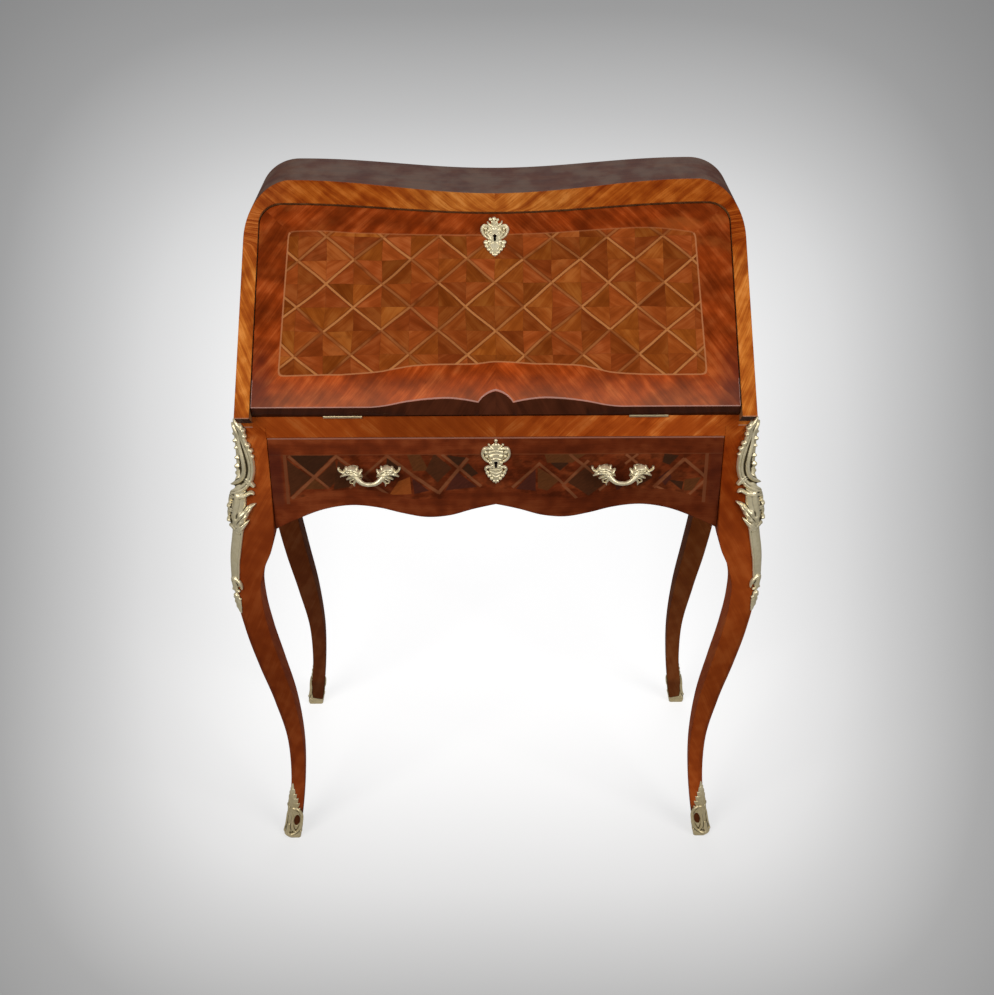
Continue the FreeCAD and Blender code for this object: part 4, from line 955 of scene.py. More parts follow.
class Casting:
    """Ornament as a height over a grid of u and v in mm. Bare places lie below nothing."""
    bare = -4.0

    def __init__(self, u_range, v_range, pitch):
        u, v = [np.arange(low, high + pitch / 2, pitch) for low, high in (u_range, v_range)]
        self.u, self.v = np.meshgrid(u, v)
        self.height = np.full(self.u.shape, self.bare)

    def stroke(self, points, vein=0.0, hollow=0.0, teeth=0, bite=0.3, ribs=0):
        """Ridge along a smooth line through points (u, v, half width, height). Across it the
        height falls as (1 - e * e) to the power 0.7, with e the distance over the half width.
        vein sinks a middle groove, hollow dishes it, ribs flute it, and teeth notch its edges."""
        line = flow(points, 12 * len(points) + 20)
        reach = line[:, 2].max() + 1.0
        near = ((self.u > line[:, 0].min() - reach) & (self.u < line[:, 0].max() + reach)
                & (self.v > line[:, 1].min() - reach) & (self.v < line[:, 1].max() + reach))
        u, v = self.u[near], self.v[near]
        far = (u[:, None] - line[:, 0]) ** 2 + (v[:, None] - line[:, 1]) ** 2
        k = far.argmin(1)
        share = k / (len(line) - 1)
        width = line[k, 2]
        if teeth:
            width = width * (1 - bite * (1 - (share * teeth) % 1.0))
        e = np.sqrt(far[np.arange(len(k)), k]) / np.maximum(width, 1e-3)
        dome = np.clip(1 - e * e, 0, 1) ** 0.7
        shape = dome * (1 - hollow * dome ** 2) - vein * np.exp(-(e / 0.16) ** 2)
        if ribs:
            shape = shape * (1 + 0.16 * np.cos(np.pi * ribs * e))
        if teeth:
            shape = shape * (1 - 0.14 * np.cos(2 * np.pi * (share * teeth - e * 0.5))
                             * np.minimum(e * 2, 1))
        rise = np.where(e < 1, np.maximum(line[k, 3] * shape, 0.35), self.bare)
        self.height[near] = np.maximum(self.height[near], rise)

    def bead(self, u, v, radius, base):
        """Half ball of the given radius on a base height."""
        e = np.hypot(self.u - u, self.v - v) / radius
        ball = base + radius * np.sqrt(np.clip(1 - e * e, 0, 1))
        self.height = np.where(e < 1, np.maximum(self.height, ball), self.height)

    def eye(self, u, v, half_u, half_v, floor):
        """Oval sunk to the height floor, or cut through where floor is below nothing."""
        e = np.hypot((self.u - u) / half_u, (self.v - v) / half_v)
        self.height = np.where(e < 1, np.minimum(self.height, floor), self.height)

    def mirror(self):
        """Make the side where u is positive the image of the other."""
        self.height = np.maximum(self.height, self.height[:, ::-1])

    @staticmethod
    def soften(height, passes):
        """Mean of each point and its neighbours, a half and two quarters along each axis, passes
        times over."""
        for _ in range(passes):
            for axis in (0, 1):
                next_to_it = np.roll(height, 1, axis) + np.roll(height, -1, axis)
                height = 0.5 * height + 0.25 * next_to_it
        return height

    def mesh(self, name, wrap, back=-0.6, passes=1):
        """Closed shell: the ornament's face where it rises over nothing, its back at the height
        back, and walls between them. wrap turns u, v and a height into points in mm. The face
        is softened passes times, and is hollow where it lies below its wider surroundings."""
        soft = self.soften(np.maximum(self.height, -1.0), passes)
        height = np.where(self.height > 0, np.maximum(soft, 0.3), self.height)
        around = self.soften(np.maximum(height, -0.5), 9)
        sunk = np.clip((around - height) * 1.35, 0, 1)
        solid = height > 0
        cell = solid[:-1, :-1] & solid[:-1, 1:] & solid[1:, 1:] & solid[1:, :-1]
        number = np.arange(height.size).reshape(height.shape)
        quads = np.stack([number[:-1, :-1], number[:-1, 1:], number[1:, 1:], number[1:, :-1]],
                         -1)[cell]
        edges = np.concatenate([quads[:, [i, (i + 1) % 4]] for i in range(4)])
        key = np.sort(edges, 1) @ (height.size, 1)
        _, first, times = np.unique(key, return_index=True, return_counts=True)
        rim = edges[first[times == 1]]
        used, packed = np.unique(quads, return_inverse=True)
        packed = packed.reshape(quads.shape)
        rim = np.searchsorted(used, rim)
        u, v, h = self.u.ravel()[used], self.v.ravel()[used], height.ravel()[used]
        points = np.concatenate([wrap(u, v, h), wrap(u, v, np.full(len(u), back))])
        count = len(used)
        faces = np.concatenate([packed, packed[:, ::-1] + count,
                                np.stack([rim[:, 1], rim[:, 0], rim[:, 0] + count,
                                          rim[:, 1] + count], -1)])
        made = bpy.data.meshes.new(name)
        made.from_pydata((points / 1000.0).tolist(), [], faces.tolist())
        layer = made.attributes.new("hollow", "FLOAT", "POINT")
        deep = np.concatenate([sunk.ravel()[used], np.ones(count)])
        layer.data.foreach_set("value", deep.astype(np.float32))
        return made


def finish_piece(name, mesh, material, sharp=50.0):
    """Turn the mesh's faces outwards, shade it, give it its material and put it in the scene."""
    shape = bmesh.new()
    shape.from_mesh(mesh)
    bmesh.ops.recalc_face_normals(shape, faces=shape.faces)
    shape.to_mesh(mesh)
    shape.free()
    mesh.materials.append(material)
    mesh.shade_smooth()
    mesh.set_sharp_from_angle(angle=math.radians(sharp))
    piece = bpy.data.objects.new(name, mesh)
    bpy.context.scene.collection.objects.link(piece)
    return piece


cant_half = cant * math.sqrt(0.5)
mount_reach = 375.8


def round_corner(a, z, h, side):
    """Point on the outer corner of a front leg: a along its girth from the cut corner, positive
    towards the side, z up, and h out of it. The way out turns smoothly round the corner, where
    the casting is also thicker, most of all at the leaf tips. Past 4 mm short of mount_reach
    it is drawn in by a falling exponential, so that it never reaches it."""
    x_edge, y_edge = np.interp(z, leg_z, out_x), np.interp(z, leg_z, out_y)
    share = np.clip((a + cant_half) / (2 * cant_half), 0, 1)
    x = x_edge - cant + cant * share - np.maximum(-a - cant_half, 0)
    y = y_edge + cant * share + np.maximum(a - cant_half, 0)
    turn = np.clip((a + 9) / 18, 0, 1)
    turn = turn * turn * (3 - 2 * turn)
    thicker = np.interp(z, [428, 470, 485, 560, 590, 620, 640, 700], [1, 3.4, 3.6, 4, 7, 7, 2, 1])
    h = np.where(h > 0, h + turn * thicker, h)
    turn = np.pi / 2 * (turn - 1)
    past = np.maximum(x + h * np.cos(turn) - (mount_reach - 4.0), 0)
    x = x + h * np.cos(turn) - past + 4.0 * (1 - np.exp(-past / 4.0))
    return np.stack([side * x, y + h * np.sin(turn), z], -1)


def corner_mount(low, high):
    """The corner mount's ornament. u runs from the front face round to the side."""
    cast = Casting((-23.5, 23.5), (low, high), 0.45)
    # flame at the top, curling out over the side
    cast.stroke([(-2, 704, 4.2, 5.5), (-3, 713, 4.8, 7), (0.5, 722, 4.2, 8.5), (4, 729, 1.8, 8)],
                vein=0.2)
    cast.stroke([(2, 704, 4.0, 7), (5, 713, 4.6, 9), (9, 719, 3.8, 11), (13, 717, 3.0, 12),
                 (15, 710, 1.6, 11)], vein=0.2)
    cast.bead(-5.5, 716, 3.0, 5.0)
    cast.bead(-6.8, 707, 2.6, 4.5)
    # openwork scroll: a wide outer limb and an inner rib that sweep down and round to the side, a
    # dark eye, and a thin knobbed limb on the side. The eye is a low backing that the hollows' dark
    # tint paints as the shade in the opening.
    cast.stroke([(0, 712, 3.6, 5.0), (-2.5, 704, 4.4, 5.5), (-5.0, 694, 4.8, 5.5),
                 (-7.6, 684, 5.2, 6), (-9.8, 672, 5.6, 6.5), (-10.6, 660, 5.6, 6.5),
                 (-9.2, 648, 5.4, 7), (-5.6, 637, 5.2, 7.5), (-0.5, 627, 4.8, 8.5),
                 (6, 618, 4.0, 10.5), (12, 612, 3.2, 12), (16, 612, 2.0, 11)], vein=0.35)
    cast.stroke([(1.0, 706, 1.8, 7.0), (-0.5, 690, 2.4, 9), (-2.4, 676, 2.6, 10),
                 (-3.4, 664, 2.6, 10.5), (-2.8, 652, 2.7, 11), (-0.2, 642, 2.8, 11.5),
                 (4.6, 633, 2.8, 12), (10, 627, 2.4, 13), (14, 626, 1.6, 12)])
    # low backing in the eye, painted dark by the hollow tint as the shade in the opening
    cast.stroke([(5.5, 706, 4.6, 0.4), (5.0, 690, 5.6, 0.4), (4.2, 664, 5.6, 0.4),
                 (5.5, 644, 4.6, 0.4)])
    cast.stroke([(7, 711, 2.6, 8), (10.5, 702, 2.0, 8.5), (12.0, 688, 1.8, 8.5),
                 (12.0, 672, 1.8, 8.5), (11.4, 658, 2.2, 8.5), (9.4, 646, 2.8, 9),
                 (7, 634, 4.0, 9)])
    for z, size in ((703, 2.8), (692, 3.2), (681, 2.3), (666, 2.6), (653, 3.8), (643, 3.4)):
        cast.bead(11.4, z, size, 7.6)
    # flowers along the limb's outer edge
    for u, z, size, base in ((-9.4, 693, 3.6, 3.6), (-12.8, 685, 3.2, 3.4), (-14.6, 676, 2.2, 3.0)):
        cast.bead(u, z, size, base)
    # hooked leaves
    cast.stroke([(-1, 644, 4.4, 7), (-8, 636, 3.8, 7.5), (-13.6, 631, 2.6, 6.5)], vein=0.25)
    cast.stroke([(2, 614, 3.8, 9), (-6, 619, 3.4, 8), (-11, 621.4, 2.8, 7), (-15.4, 619, 1.7, 5.5)],
                vein=0.2)
    # body under the scroll, with a raised rib, and two curled leaf tips and a bud on the side
    cast.stroke([(2, 630, 6.5, 7), (1.5, 618, 7.0, 7), (1.0, 604, 8.0, 6.5), (1.0, 590, 8.6, 6.5),
                 (0.5, 572, 9.0, 4.6)])
    cast.stroke([(1.0, 618, 2.4, 9.4), (0.6, 604, 2.6, 9.4), (1.2, 590, 2.4, 8.6),
                 (1.6, 574, 2.0, 6.6)])
    for z, out, size in ((600, 14.2, 4.0), (580, 13.0, 3.8)):
        cast.stroke([(2.5, z + 14, 3.6, 8), (8.0, z + 11, 4.8, 11), (out, z + 3, 4.6, 12.5),
                     (out - 1.6, z - 5, 2.8, 11)], vein=0.25)
        cast.bead(out - 4.0, z - 4.0, size, 8.4)
    cast.bead(11.0, 566.0, 3.4, 5.0)
    # the large pointed leaves and the small ones under them
    cast.stroke([(0, 572, 5.4, 6), (-4, 584, 7.2, 8.5), (-9, 594.5, 6.0, 8.5), (-14, 601, 3.8, 7),
                 (-19.5, 604.5, 1.2, 4)], vein=0.3, teeth=4, bite=0.12)
    cast.stroke([(-1, 562, 4.4, 4.5), (-6, 571, 4.2, 6), (-10.5, 577, 2.8, 5.5),
                 (-13.5, 580, 1.0, 4)], vein=0.3)
    cast.stroke([(3, 566, 3.4, 5.5), (8.5, 569, 3.2, 7.5), (11.5, 563, 2.0, 7)], vein=0.2)
    # strap down over the knee, dished between two raised edges
    cast.stroke([(1.0, 590, 8.6, 4.5), (1.0, 572, 9.0, 3.4), (1.0, 557, 8.6, 2.8),
                 (1.0, 532, 8.2, 2.4), (1.0, 507, 7.8, 2.3), (1.0, 492, 7.4, 2.3),
                 (0.5, 481, 6.4, 2.3)], hollow=0.5)
    for side in (-1, 1):
        cast.stroke([(1 + side * 7.0, 566, 1.6, 3.6), (1 + side * 7.2, 545, 1.5, 3.4),
                     (1 + side * 6.8, 520, 1.5, 3.2), (1 + side * 6.4, 496, 1.4, 3.2),
                     (1 + side * 5.4, 484, 1.4, 3.4)])
    # tuft, collar, bead and hanging bud
    for side in (-1, 1):
        cast.stroke([(0, 489, 3.4, 3.8), (side * 4.4, 486, 3.0, 4.8), (side * 7.4, 480, 2.6, 4.8),
                     (side * 8.2, 473, 1.6, 3.6)], vein=0.25)
        cast.bead(side * 4.2, 470, 2.2, 1.6)
    cast.stroke([(0, 489, 3.0, 4.4), (0, 477, 3.0, 5.2), (0, 467, 2.2, 2.6)])
    cast.bead(0, 461.5, 3.8, 1.0)
    cast.bead(-4.4, 456, 2.0, 1.2)
    cast.bead(4.4, 456, 2.0, 1.2)
    cast.stroke([(0, 457, 5.2, 3.4), (0, 447, 5.4, 3.8), (0, 438, 3.8, 3.2), (0, 430, 1.2, 1.8)],
                vein=0.35, teeth=3, bite=0.16)
    return cast


mount_cast = corner_mount(428.6, 730.4)
for name, side in (("left_corner_mount", -1), ("right_corner_mount", 1)):
    mesh = mount_cast.mesh(name + "_bronze", lambda u, v, h, side=side: round_corner(u, v, h, side),
                           passes=3)
    mount = finish_piece(name + "_bronze", mesh, gilt_bronze)
    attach(mount, "case")
    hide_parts(name)

# Two keyhole escutcheons, flat castings that are pinned on: shells and scrolls with a small
# crown over the keyhole and a pointed drop under it.
fall_middle, flatten = 255.0, 0.83
drawer_middle = sum(corner[2] for corner in corners_of("drawer_escutcheon")) / 2


def fall_drop():
    """Ornament of the fall's escutcheon, round its own middle (0, 0), 41 mm by 61 mm."""
    cast = Casting((-20.3, 20.3), (-30.3, 30.3), 0.33)
    cast.stroke([(0, 15, 7.5, 2.4), (0, 7, 15, 2.2), (0, -4, 8, 2.2)])
    # crown of three knobs over two curled arms
    cast.stroke([(-0.5, 13, 4.6, 3.4), (-0.9, 19, 3.2, 4.0), (-0.9, 24, 2.0, 3.6)], vein=0.3)
    for u, v, size in ((-0.8, 26.8, 3.0), (-6.0, 26.2, 2.5), (4.0, 25.4, 2.2), (-3.6, 22.4, 2.0),
                       (2.4, 21.8, 2.0)):
        cast.bead(u, v, size, 1.0)
    cast.stroke([(-3, 15.5, 2.2, 3.2), (-7.4, 18.0, 2.0, 3.4), (-9.8, 22.4, 1.3, 2.4)])
    cast.stroke([(3, 15.5, 2.2, 3.2), (7.4, 18.0, 2.0, 3.4), (10.0, 23.4, 1.2, 2.4)])
    for side in (-1, 1):
        # large scroll with a leaf and a bead inside it
        cast.stroke([(side * 5.0, 11.5, 1.6, 2.6), (side * 9.4, 15.0, 2.5, 4.0),
                     (side * 14.6, 15.8, 3.2, 4.8), (side * 17.4, 11.8, 2.8, 4.4),
                     (side * 16.6, 5.6, 2.3, 4.0), (side * 13.2, 0.2, 2.0, 3.6),
                     (side * 8.6, -3.2, 1.7, 2.8)], vein=0.2)
        cast.bead(side * 12.6, 11.6, 2.2, 1.8)
        cast.stroke([(side * 5.0, 10.0, 1.3, 3.0), (side * 9.6, 7.4, 1.7, 3.6),
                     (side * 9.2, 2.2, 1.5, 3.2), (side * 5.6, -0.6, 1.3, 2.6)])
        cast.bead(side * 5.4, 5.4, 1.9, 2.0)
        cast.bead(side * 12.6, 5.4, 1.5, 1.2)
        # shell below, edged with lobes that shrink towards its tip
        for u, v, size in ((7.6, -7.4, 2.6), (12.4, -9.2, 3.5), (11.4, -14.8, 3.0),
                           (8.4, -19.6, 3.0), (5.0, -24.0, 2.7), (2.0, -27.4, 2.2)):
            cast.bead(side * u, v, size, 0.9)
        cast.stroke([(side * 2.6, -9, 1.4, 3.2), (side * 5.6, -13, 1.5, 3.4),
                     (side * 3.8, -19, 1.1, 3.0)])
    cast.stroke([(0, -5, 5.0, 2.4), (0, -11, 11.0, 2.6), (0, -19, 8.0, 2.8), (0, -26, 3.6, 2.4),
                 (0, -30, 1.0, 1.4)], ribs=4)
    cast.stroke([(0, -10, 1.2, 3.2), (0, -18, 1.5, 3.6), (0, -28.6, 1.4, 3.0)])
    cast.eye(0, 0.6, 2.3, 2.3, -4.0)
    cast.eye(0, -3.6, 1.5, 4.2, -4.0)
    return cast


def drawer_drop():
    """Ornament of the drawer's escutcheon, round its own middle (0, 0), 41 mm by 69 mm."""
    cast = Casting((-20.3, 20.3), (-34.3, 34.3), 0.33)
    cast.stroke([(0, 20, 7.5, 2.4), (0, 11, 15.0, 2.4), (0, 0, 9.0, 2.4), (0, -12, 9.0, 2.4)])
    # crown: a stem with a knob, and a small knob on each side
    cast.stroke([(0, 18, 3.0, 3.4), (0, 25, 1.8, 3.4), (0, 30, 1.6, 3.0)])
    cast.bead(0, 31.6, 2.6, 1.0)
    cast.bead(0, 25.0, 2.4, 1.6)
    for side in (-1, 1):
        cast.stroke([(side * 3.5, 18.6, 1.9, 3.0), (side * 6.8, 21.6, 1.6, 3.0),
                     (side * 9.2, 25.4, 1.2, 2.2)])
        cast.bead(side * 9.4, 25.4, 1.9, 0.8)
        # large scroll, with its eye standing out as a knob
        cast.stroke([(side * 3.5, 16.6, 1.9, 3.4), (side * 9.0, 19.4, 2.6, 4.2),
                     (side * 14.8, 19.2, 3.2, 4.8), (side * 17.8, 14.0, 2.5, 4.4),
                     (side * 17.4, 7.8, 2.3, 4.0), (side * 14.4, 3.0, 2.2, 3.8),
                     (side * 10.6, 0.0, 2.0, 3.2)], vein=0.2)
        cast.bead(side * 13.4, 14.2, 2.7, 2.2)
        cast.bead(side * 12.6, 7.6, 2.2, 1.8)
        cast.bead(side * 6.2, 7.6, 2.6, 1.8)
        cast.bead(side * 7.2, -2.2, 2.6, 1.4)
        cast.bead(side * 5.2, -6.8, 2.2, 1.4)
        # lower scroll and the shell's lobed edge
        cast.stroke([(side * 3, -9, 1.7, 3.0), (side * 7.6, -8.6, 2.1, 3.6),
                     (side * 12.2, -9.0, 2.5, 4.0), (side * 14.0, -12.6, 2.0, 3.6),
                     (side * 11.4, -15.4, 1.7, 3.2)])
        for u, v, size in ((11.6, -17.4, 2.8), (9.2, -22.0, 2.8), (6.0, -26.4, 2.6),
                           (2.6, -30.2, 2.2)):
            cast.bead(side * u, v, size, 1.0)
        # bands that bow across the head and the shell
        for v, wide, drop in ((16.2, 9.5, 2.6), (11.0, 9.0, 2.4), (4.6, 6.5, 2.0),
                              (-13.0, 8.0, -1.8), (-18.2, 7.0, -2.4), (-23.4, 4.6, -2.4)):
            cast.stroke([(0, v, 1.5, 3.8), (side * wide * 0.6, v - drop * 0.4, 1.4, 3.6),
                         (side * wide, v - drop, 1.1, 2.8)])
    cast.stroke([(0, -12, 9.5, 2.4), (0, -20, 9.0, 2.6), (0, -28, 4.2, 2.2), (0, -34, 1.0, 1.2)])
    cast.eye(0, -2.5, 2.2, 2.2, -4.0)
    cast.eye(0, -6.5, 1.4, 4.0, -4.0)
    return cast


escutcheons = (
    ("fall_escutcheon", "fall", fall_drop(),
     lambda u, v, h: on_slope(u, v + fall_middle, fall_thick + h * flatten)),
    ("drawer_escutcheon", "drawer", drawer_drop(),
     lambda u, v, h: np.stack([u, front_plane - h * flatten, v + drawer_middle], -1)))
for name, body, cast, wrap in escutcheons:
    mesh = cast.mesh(name + "_bronze", wrap, 0.02)
    piece = finish_piece(name + "_bronze", mesh, gilt_bronze)
    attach(piece, body)
    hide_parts(name)

# Two drawer pulls, each one casting: a spray of leaves at each end, domed and fluted, and a
# smooth bar that hangs between them. They stand on two turned stems and don't swing.
plate_plane, stem_out, stem_z = -177.0, 22.0, 655.0
pull_out = sum(corner[0] for corner in corners_of("right_pull")) / 2


def spray():
    """Ornament of a pull's left end. u is from the pull's middle, v the height, in mm."""
    cast = Casting((-43.0, 43.0), (631.2, 667.9), 0.4)
    cast.stroke([(-34, 656, 3.5, 5), (-29.5, 660.5, 5.0, 8.5), (-23, 661.8, 5.4, 11),
                 (-17, 658.6, 4.8, 10.5), (-12.5, 654, 2.6, 8), (-9.6, 650.5, 0.9, 5)], vein=0.2)
    cast.stroke([(-31, 656, 3.0, 6), (-36, 657.8, 2.4, 6), (-39.2, 660.2, 2.0, 7.5),
                 (-41.2, 663.6, 1.6, 9)])
    cast.bead(-41.0, 664.4, 2.0, 6.0)
    cast.stroke([(-17, 655, 3.4, 11), (-24, 657.4, 3.2, 11.5), (-31, 655.4, 2.6, 8),
                 (-36, 653.0, 2.0, 6), (-39.4, 650.6, 1.0, 4)], vein=0.15)
    cast.stroke([(-15, 652, 3.2, 11), (-22, 652.4, 2.8, 10), (-28, 649.4, 2.2, 7.5),
                 (-31.4, 646.6, 1.0, 5)], vein=0.15)
    cast.stroke([(-14, 648, 3.4, 10), (-19, 646, 3.0, 8.5), (-21.4, 641, 2.0, 7),
                 (-20.6, 635.8, 0.8, 4)], vein=0.15)
    cast.stroke([(-18, 649, 2.0, 9), (-24.5, 647.6, 1.6, 8), (-26.6, 643.4, 1.5, 7),
                 (-23.4, 641.2, 1.2, 6)])
    for u, v, tip_u, tip_v in ((-29, 660, -31.0, 664.4), (-24, 662, -24.6, 665.8),
                               (-18.5, 661, -16.4, 665.0), (-14, 657, -10.8, 660.0)):
        cast.stroke([(u, v, 4.0, 9.5), (tip_u, tip_v, 2.2, 6.0)], vein=0.15)
    cast.stroke([(-24, 656, 4.4, 10), (-18, 651, 4.6, 11), (-14, 648.0, 3.6, 11)])
    cast.mirror()
    return cast


def tube(line, ring=20):
    """Round bar along a line of x, y, z and radius: circles square to the line, in mm."""
    path, radius = line[:, :3], line[:, 3]
    ahead = unit(np.gradient(path, axis=0))
    side = unit(np.cross(ahead, (0.0, 1.0, 0.0)))
    over = np.cross(side, ahead)
    turn = np.linspace(0, 2 * np.pi, ring + 1)[None, :, None]
    out = side[:, None] * np.cos(turn) + over[:, None] * np.sin(turn)
    return path[:, None] + radius[:, None, None] * out


bar = [(-18, -184.5, 652.5, 3.6), (-14, -187.0, 648.4, 3.5), (-9, -188.6, 645.2, 3.0),
       (-4, -189.2, 643.9, 2.7), (0, -189.3, 643.7, 2.9), (4, -189.2, 643.9, 2.7),
       (9, -188.6, 645.2, 3.0), (14, -187.0, 648.4, 3.5), (18, -184.5, 652.5, 3.6)]
spray_cast = spray()
for name, middle in (("left_pull", -pull_out), ("right_pull", pull_out)):
    leaves = spray_cast.mesh(
        name + "_sprays",
        lambda u, v, h, middle=middle: np.stack([u + middle, plate_plane - h, v], -1), 1.2)
    piece = finish_piece(name + "_sprays", leaves, gilt_bronze)
    grid = tube(flow(bar, 60)) + (middle, 0, 0)
    rod = skin(name + "_bar", [(grid, 0)], [gilt_bronze], [(grid[0, :-1], 0), (grid[-1, :-1], 0)],
               60.0)
    stems = []
    for side in (-1, 1):
        post = np.array([(0, -165.9, 0, 6.4), (0, -167.2, 0, 6.2), (0, -168.0, 0, 4.6),
                         (0, -170.0, 0, 3.8), (0, -174.0, 0, 3.6), (0, -179.0, 0, 4.4)])
        post = post + (middle + side * stem_out, 0, stem_z, 0)
        turn = np.linspace(0, 2 * np.pi, 21)[None, :, None]
        around = np.concatenate([np.cos(turn), 0 * turn, np.sin(turn)], -1)
        stems.append((post[:, None, :3] + post[:, 3, None, None] * around, 0))
    lids = [(ring[:-1], 0) for grid, _ in stems for ring in (grid[0], grid[-1])]
    foot = skin(name + "_stems", stems, [gilt_bronze], lids)
    for part in (piece, rod, foot):
        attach(part, "drawer")
    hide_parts(name)

# Four sabots, bronze shoes that the feet stand in: a low cup on the inner sides, a scroll with
# an eye on each outer face, a toothed leaf up the outer corner and a rolled toe.
girth_half = 42.0


def round_foot(u, z, h, side, end):
    """Point on a leg's lower end: u is the way round its girth from the outer corner, z up,
    and h out of it. The girth is the mean of the section's outline over a few millimetres."""
    marks = np.array([-girth_half, -20.0, -5.0, 5.0, 20.0, girth_half])
    corner_x = np.stack([np.interp(z, leg_z, line)
                         for line in (in_x, in_x, out_x - cant, out_x, out_x, in_x)])
    corner_y = np.stack([np.interp(z, leg_z, line)
                         for line in (in_y, out_y, out_y, out_y + cant, in_y, in_y)])

    def on_outline(where):
        """Corner points' x and y, with straight lines between them, at a way round the girth."""
        where = (where + girth_half) % (2 * girth_half) - girth_half
        k = np.clip(np.searchsorted(marks, where) - 1, 0, 4)
        share = (where - marks[k]) / (marks[k + 1] - marks[k])
        here = np.arange(len(where))
        return [line[k, here] * (1 - share) + line[k + 1, here] * share
                for line in (corner_x, corner_y)]

    offsets = np.linspace(-2.4, 2.4, 7)
    x, y = [sum(part) / len(offsets)
            for part in zip(*(on_outline(u + offset) for offset in offsets))]
    x1, y1 = on_outline(u + 4.0)
    x0, y0 = on_outline(u - 4.0)
    length = np.hypot(x1 - x0, y1 - y0)
    x, y = x + h * (y1 - y0) / length, y - h * (x1 - x0) / length
    return np.stack([side * x, y if end > 0 else 2 * middle_y - y, z], -1)


def shoe():
    """Ornament of a sabot. u is the way round the foot from its outer corner, v the height."""
    cast = Casting((-girth_half, girth_half), (0.0, 97.8), 0.5)
    rim = np.interp(abs(cast.u), [0, 17, 20, 25, 42], [50, 48, 36, 15, 11])
    cast.height = np.where(cast.v < rim, 1.3, cast.height)
    cast.height = np.where(abs(cast.v - rim + 1.5) < 1.5, 2.0, cast.height)
    cast.stroke([(0, 46, 17, 2.6), (0, 58, 16.5, 3.0), (0, 70, 13.0, 3.2), (0, 82, 8.0, 3.0),
                 (0, 92, 3.4, 2.6), (0, 97.6, 0.9, 1.6)], vein=0.2, teeth=6, bite=0.26)
    for side in (-1, 1):
        cast.stroke([(side * 0.5, 53, 2.2, 3.6), (side * 7, 55, 2.4, 4.0),
                     (side * 13.5, 52, 2.5, 4.2), (side * 18, 45, 2.5, 4.2),
                     (side * 19.5, 34, 2.5, 4.2), (side * 18.5, 22, 2.5, 4.2),
                     (side * 14, 12.5, 2.6, 4.4), (side * 7, 8, 3.0, 5.5)])
        cast.stroke([(side * 2.5, 48, 2.0, 3.4), (side * 5.5, 40, 2.2, 3.6),
                     (side * 6.0, 29, 2.4, 3.8), (side * 7.5, 18, 2.4, 4.0),
                     (side * 11, 13, 2.2, 4.0)])
        cast.eye(side * 12.6, 33.0, 4.2, 9.5, -4.0)
        cast.stroke([(side * 21, 5, 4.5, 2.0), (side * 10, 5.5, 4.6, 3.4), (0, 6.0, 5.0, 4.8)])
        cast.stroke([(side * 20, 12, 2.0, 3.0), (side * 28, 10, 2.0, 2.4),
                     (side * 41, 9, 1.8, 2.2)])
    cast.stroke([(0, 22, 4.0, 3.4), (0, 12, 4.6, 4.2), (0, 6, 4.6, 5.0)])
    return cast


shoe_cast = shoe()
for name, side, end in leg_places:
    mesh = shoe_cast.mesh(name + "_sabot_bronze", lambda u, v, h: round_foot(u, v, h, side, end),
                          -0.3)
    sabot = finish_piece(name + "_sabot_bronze", mesh, gilt_bronze)
    turn = np.linspace(-girth_half, girth_half, 61)
    sole = np.stack([round_foot(turn, np.full(61, height), np.full(61, 0.6), side, end)
                     for height in (0.0, leg_foot)])
    sole[1, :, 2] = leg_foot
    under = skin(name + "_sabot_sole", [(sole, 0)], [gilt_bronze],
                 [(sole[0, :-1], 0), (sole[1, :-1], 0)])
    for part in (sabot, under):
        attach(part, "case")
    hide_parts(name + "_sabot")

# Inside the upper case: bed, back, stops, shelf, dividers and two drawer fronts, all veneered
# in satin-polished tulipwood like the insides of the carcass.
cover(("writing_bed", "back_panel", "head_fillet", "left_fall_stop", "right_fall_stop",
       "interior_shelf", "left_interior_divider", "right_interior_divider",
       "left_small_drawer_front", "right_small_drawer_front"), inside_wood)

# The drawers' sides, backs and bottoms, the trays and the runners are plain waxed oak.
oak = Finish("waxed_oak")
x, y, z = oak.place()
wander = oak.noise(x * 0.01, y * 0.01, z * 0.012, 2.0) * 22.0
rings = oak.noise(x * 0.10 + wander, y * 0.012, z * 0.16 + wander * 0.4, 2.0)
fibre = oak.noise(x * 1.4, y * 0.05, z * 1.6, 2.0, 0.6)
flecks = oak.noise(x * 0.5, y * 0.22, z * 0.5, 1.0).between(0.62, 0.70)
tone = (rings * 0.6 + fibre * 0.4).between(0.3, 0.7)
colour = oak.ramp(tone, [(0.0, (0.20, 0.10, 0.042)), (0.5, (0.34, 0.19, 0.085)),
                         (1.0, (0.47, 0.29, 0.14))])
colour = oak.mix(flecks * 0.35, colour, (0.58, 0.38, 0.20))
oak_wood = oak.surface(base_color=colour, roughness=0.5 + fibre * 0.14, coat_weight=0.08,
                       height=(fibre - 0.5) * 0.00004)
cover(("left_drawer_side", "right_drawer_side", "drawer_back", "drawer_bottom", "drawer_stops",
       "left_drawer_runner", "right_drawer_runner", "left_drawer_kicker", "right_drawer_kicker",
       "left_small_drawer_tray", "right_small_drawer_tray"), oak_wood)

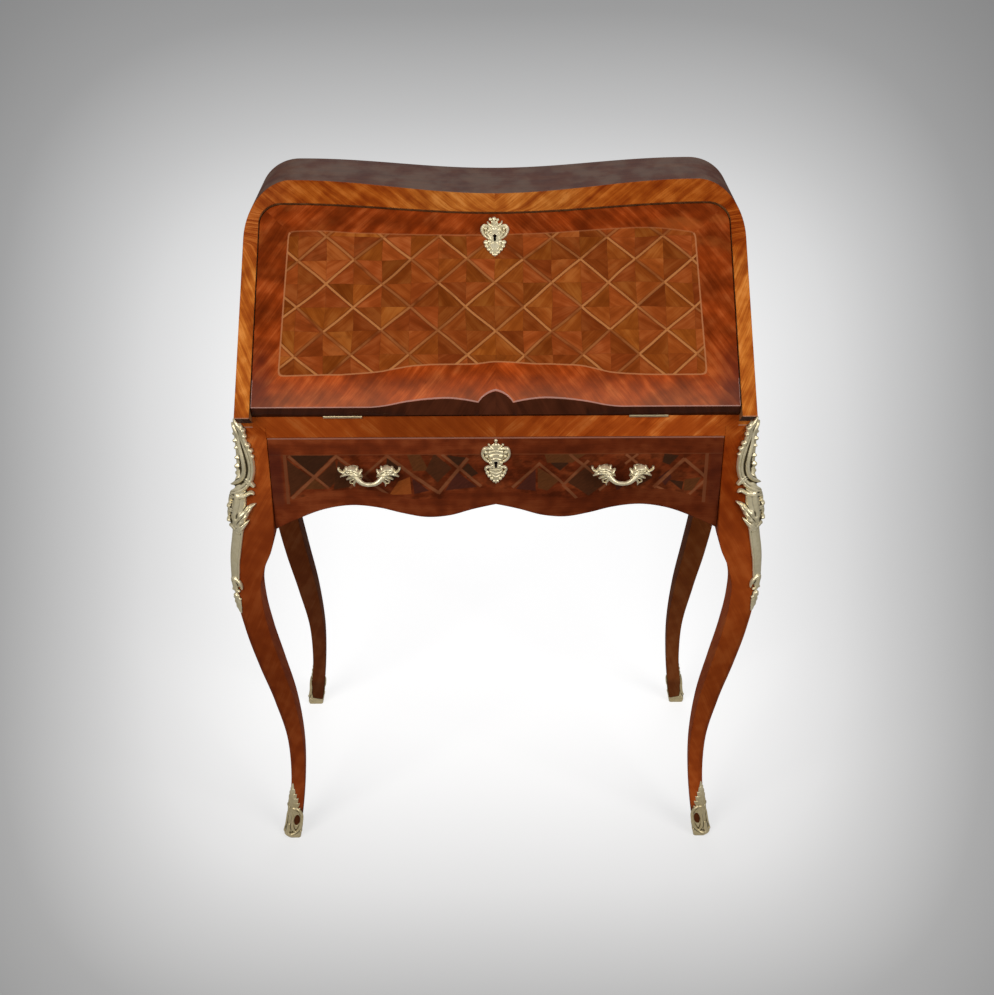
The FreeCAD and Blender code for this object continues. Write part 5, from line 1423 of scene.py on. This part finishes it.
# The writing leather is green, with a gilt fillet and a gilt row of lozenges tooled round it.
hide = Finish("tooled_leather")
x, y, z = hide.place()
s = (y - hinge_y) * math.cos(slope) + (z - hinge_z) * math.sin(slope)
leather_half, leather_low, leather_high = corners_of("writing_leather")[1][0], 28.0, 236.0
from_side, from_end = leather_half - abs(x), (s - leather_low).least(leather_high - s)
from_edge = from_side.least(from_end)
cells = hide.node("TexVoronoi", {"feature": "DISTANCE_TO_EDGE"},
                  {"Vector": hide.vector(x, s, 0.0), "Scale": 0.9})
cloud = hide.noise(x * 0.014, s * 0.014, 2.6, 3.0)
wear = hide.noise(x * 0.006, s * 0.009, 5.2, 2.0).between(0.4, 0.7)
colour = hide.mix(cloud.between(0.3, 0.7), (0.018, 0.040, 0.017), (0.040, 0.070, 0.030))
colour = hide.mix(wear * 0.5, colour, (0.075, 0.085, 0.040))
fillets = (abs(from_edge - 5.0) < 0.8).most(abs(from_edge - 16.0) < 0.45)
fillets = fillets.most(abs(from_edge - 7.4) < 0.3)
run = hide.choose(from_end < from_side, s, x)
tool_pitch, tool_row = 8.0, 11.7
step = run / tool_pitch
lozenge = (abs(step.fraction() - 0.5) * tool_pitch + abs(from_edge - tool_row)) < 2.7
dot = (abs((step + 0.5).fraction() - 0.5) * tool_pitch).most(abs(from_edge - tool_row)) < 0.6
gold = fillets.most(lozenge).most(dot) * (0.6 + cloud * 0.6).least(1.0)
colour = hide.mix(gold, colour, (0.62, 0.42, 0.14))
leather = hide.surface(base_color=colour, metallic=gold * 0.8,
                       roughness=0.52 - gold * 0.2 + cloud * 0.1,
                       height=cells.between(0.0, 0.25) * 0.00006 - gold * 0.0001)
cover(("writing_leather",), leather)

# Locks, hinges with their pins and screws, the strike plate and the small drawers' knobs are
# brass. The two bolts are steel.
metals = []
for name, bright, dull, fine in (("brass", (0.80, 0.66, 0.40), (0.46, 0.31, 0.13), 0.26),
                                 ("steel", (0.62, 0.62, 0.61), (0.26, 0.25, 0.24), 0.30)):
    metal = Finish(name)
    x, y, z = metal.place()
    brushed = metal.noise(x * 0.35, y * 5.0, z * 5.0, 3.0)
    stain = metal.noise(x * 0.12, y * 0.12, z * 0.12, 4.0).between(0.45, 0.8)
    metals.append(metal.surface(base_color=metal.mix(stain * 0.7, bright, dull), metallic=1.0,
                                roughness=fine + brushed * 0.12 + stain * 0.2,
                                height=brushed * 0.00001))
brass, steel = metals
cover(("fall_lock", "drawer_lock", "fall_strike_plate", "hinge_bed_screws", "hinge_fall_screws"),
      brass)
for hand in ("left", "right"):
    cover((hand + "_hinge_bed_leaf", hand + "_hinge_fall_leaf", hand + "_hinge_pin",
           hand + "_small_drawer_knob"), brass)
cover(("fall_lock_bolt", "drawer_lock_bolt"), steel)

bpy.context.scene.view_settings.view_transform = "Standard"
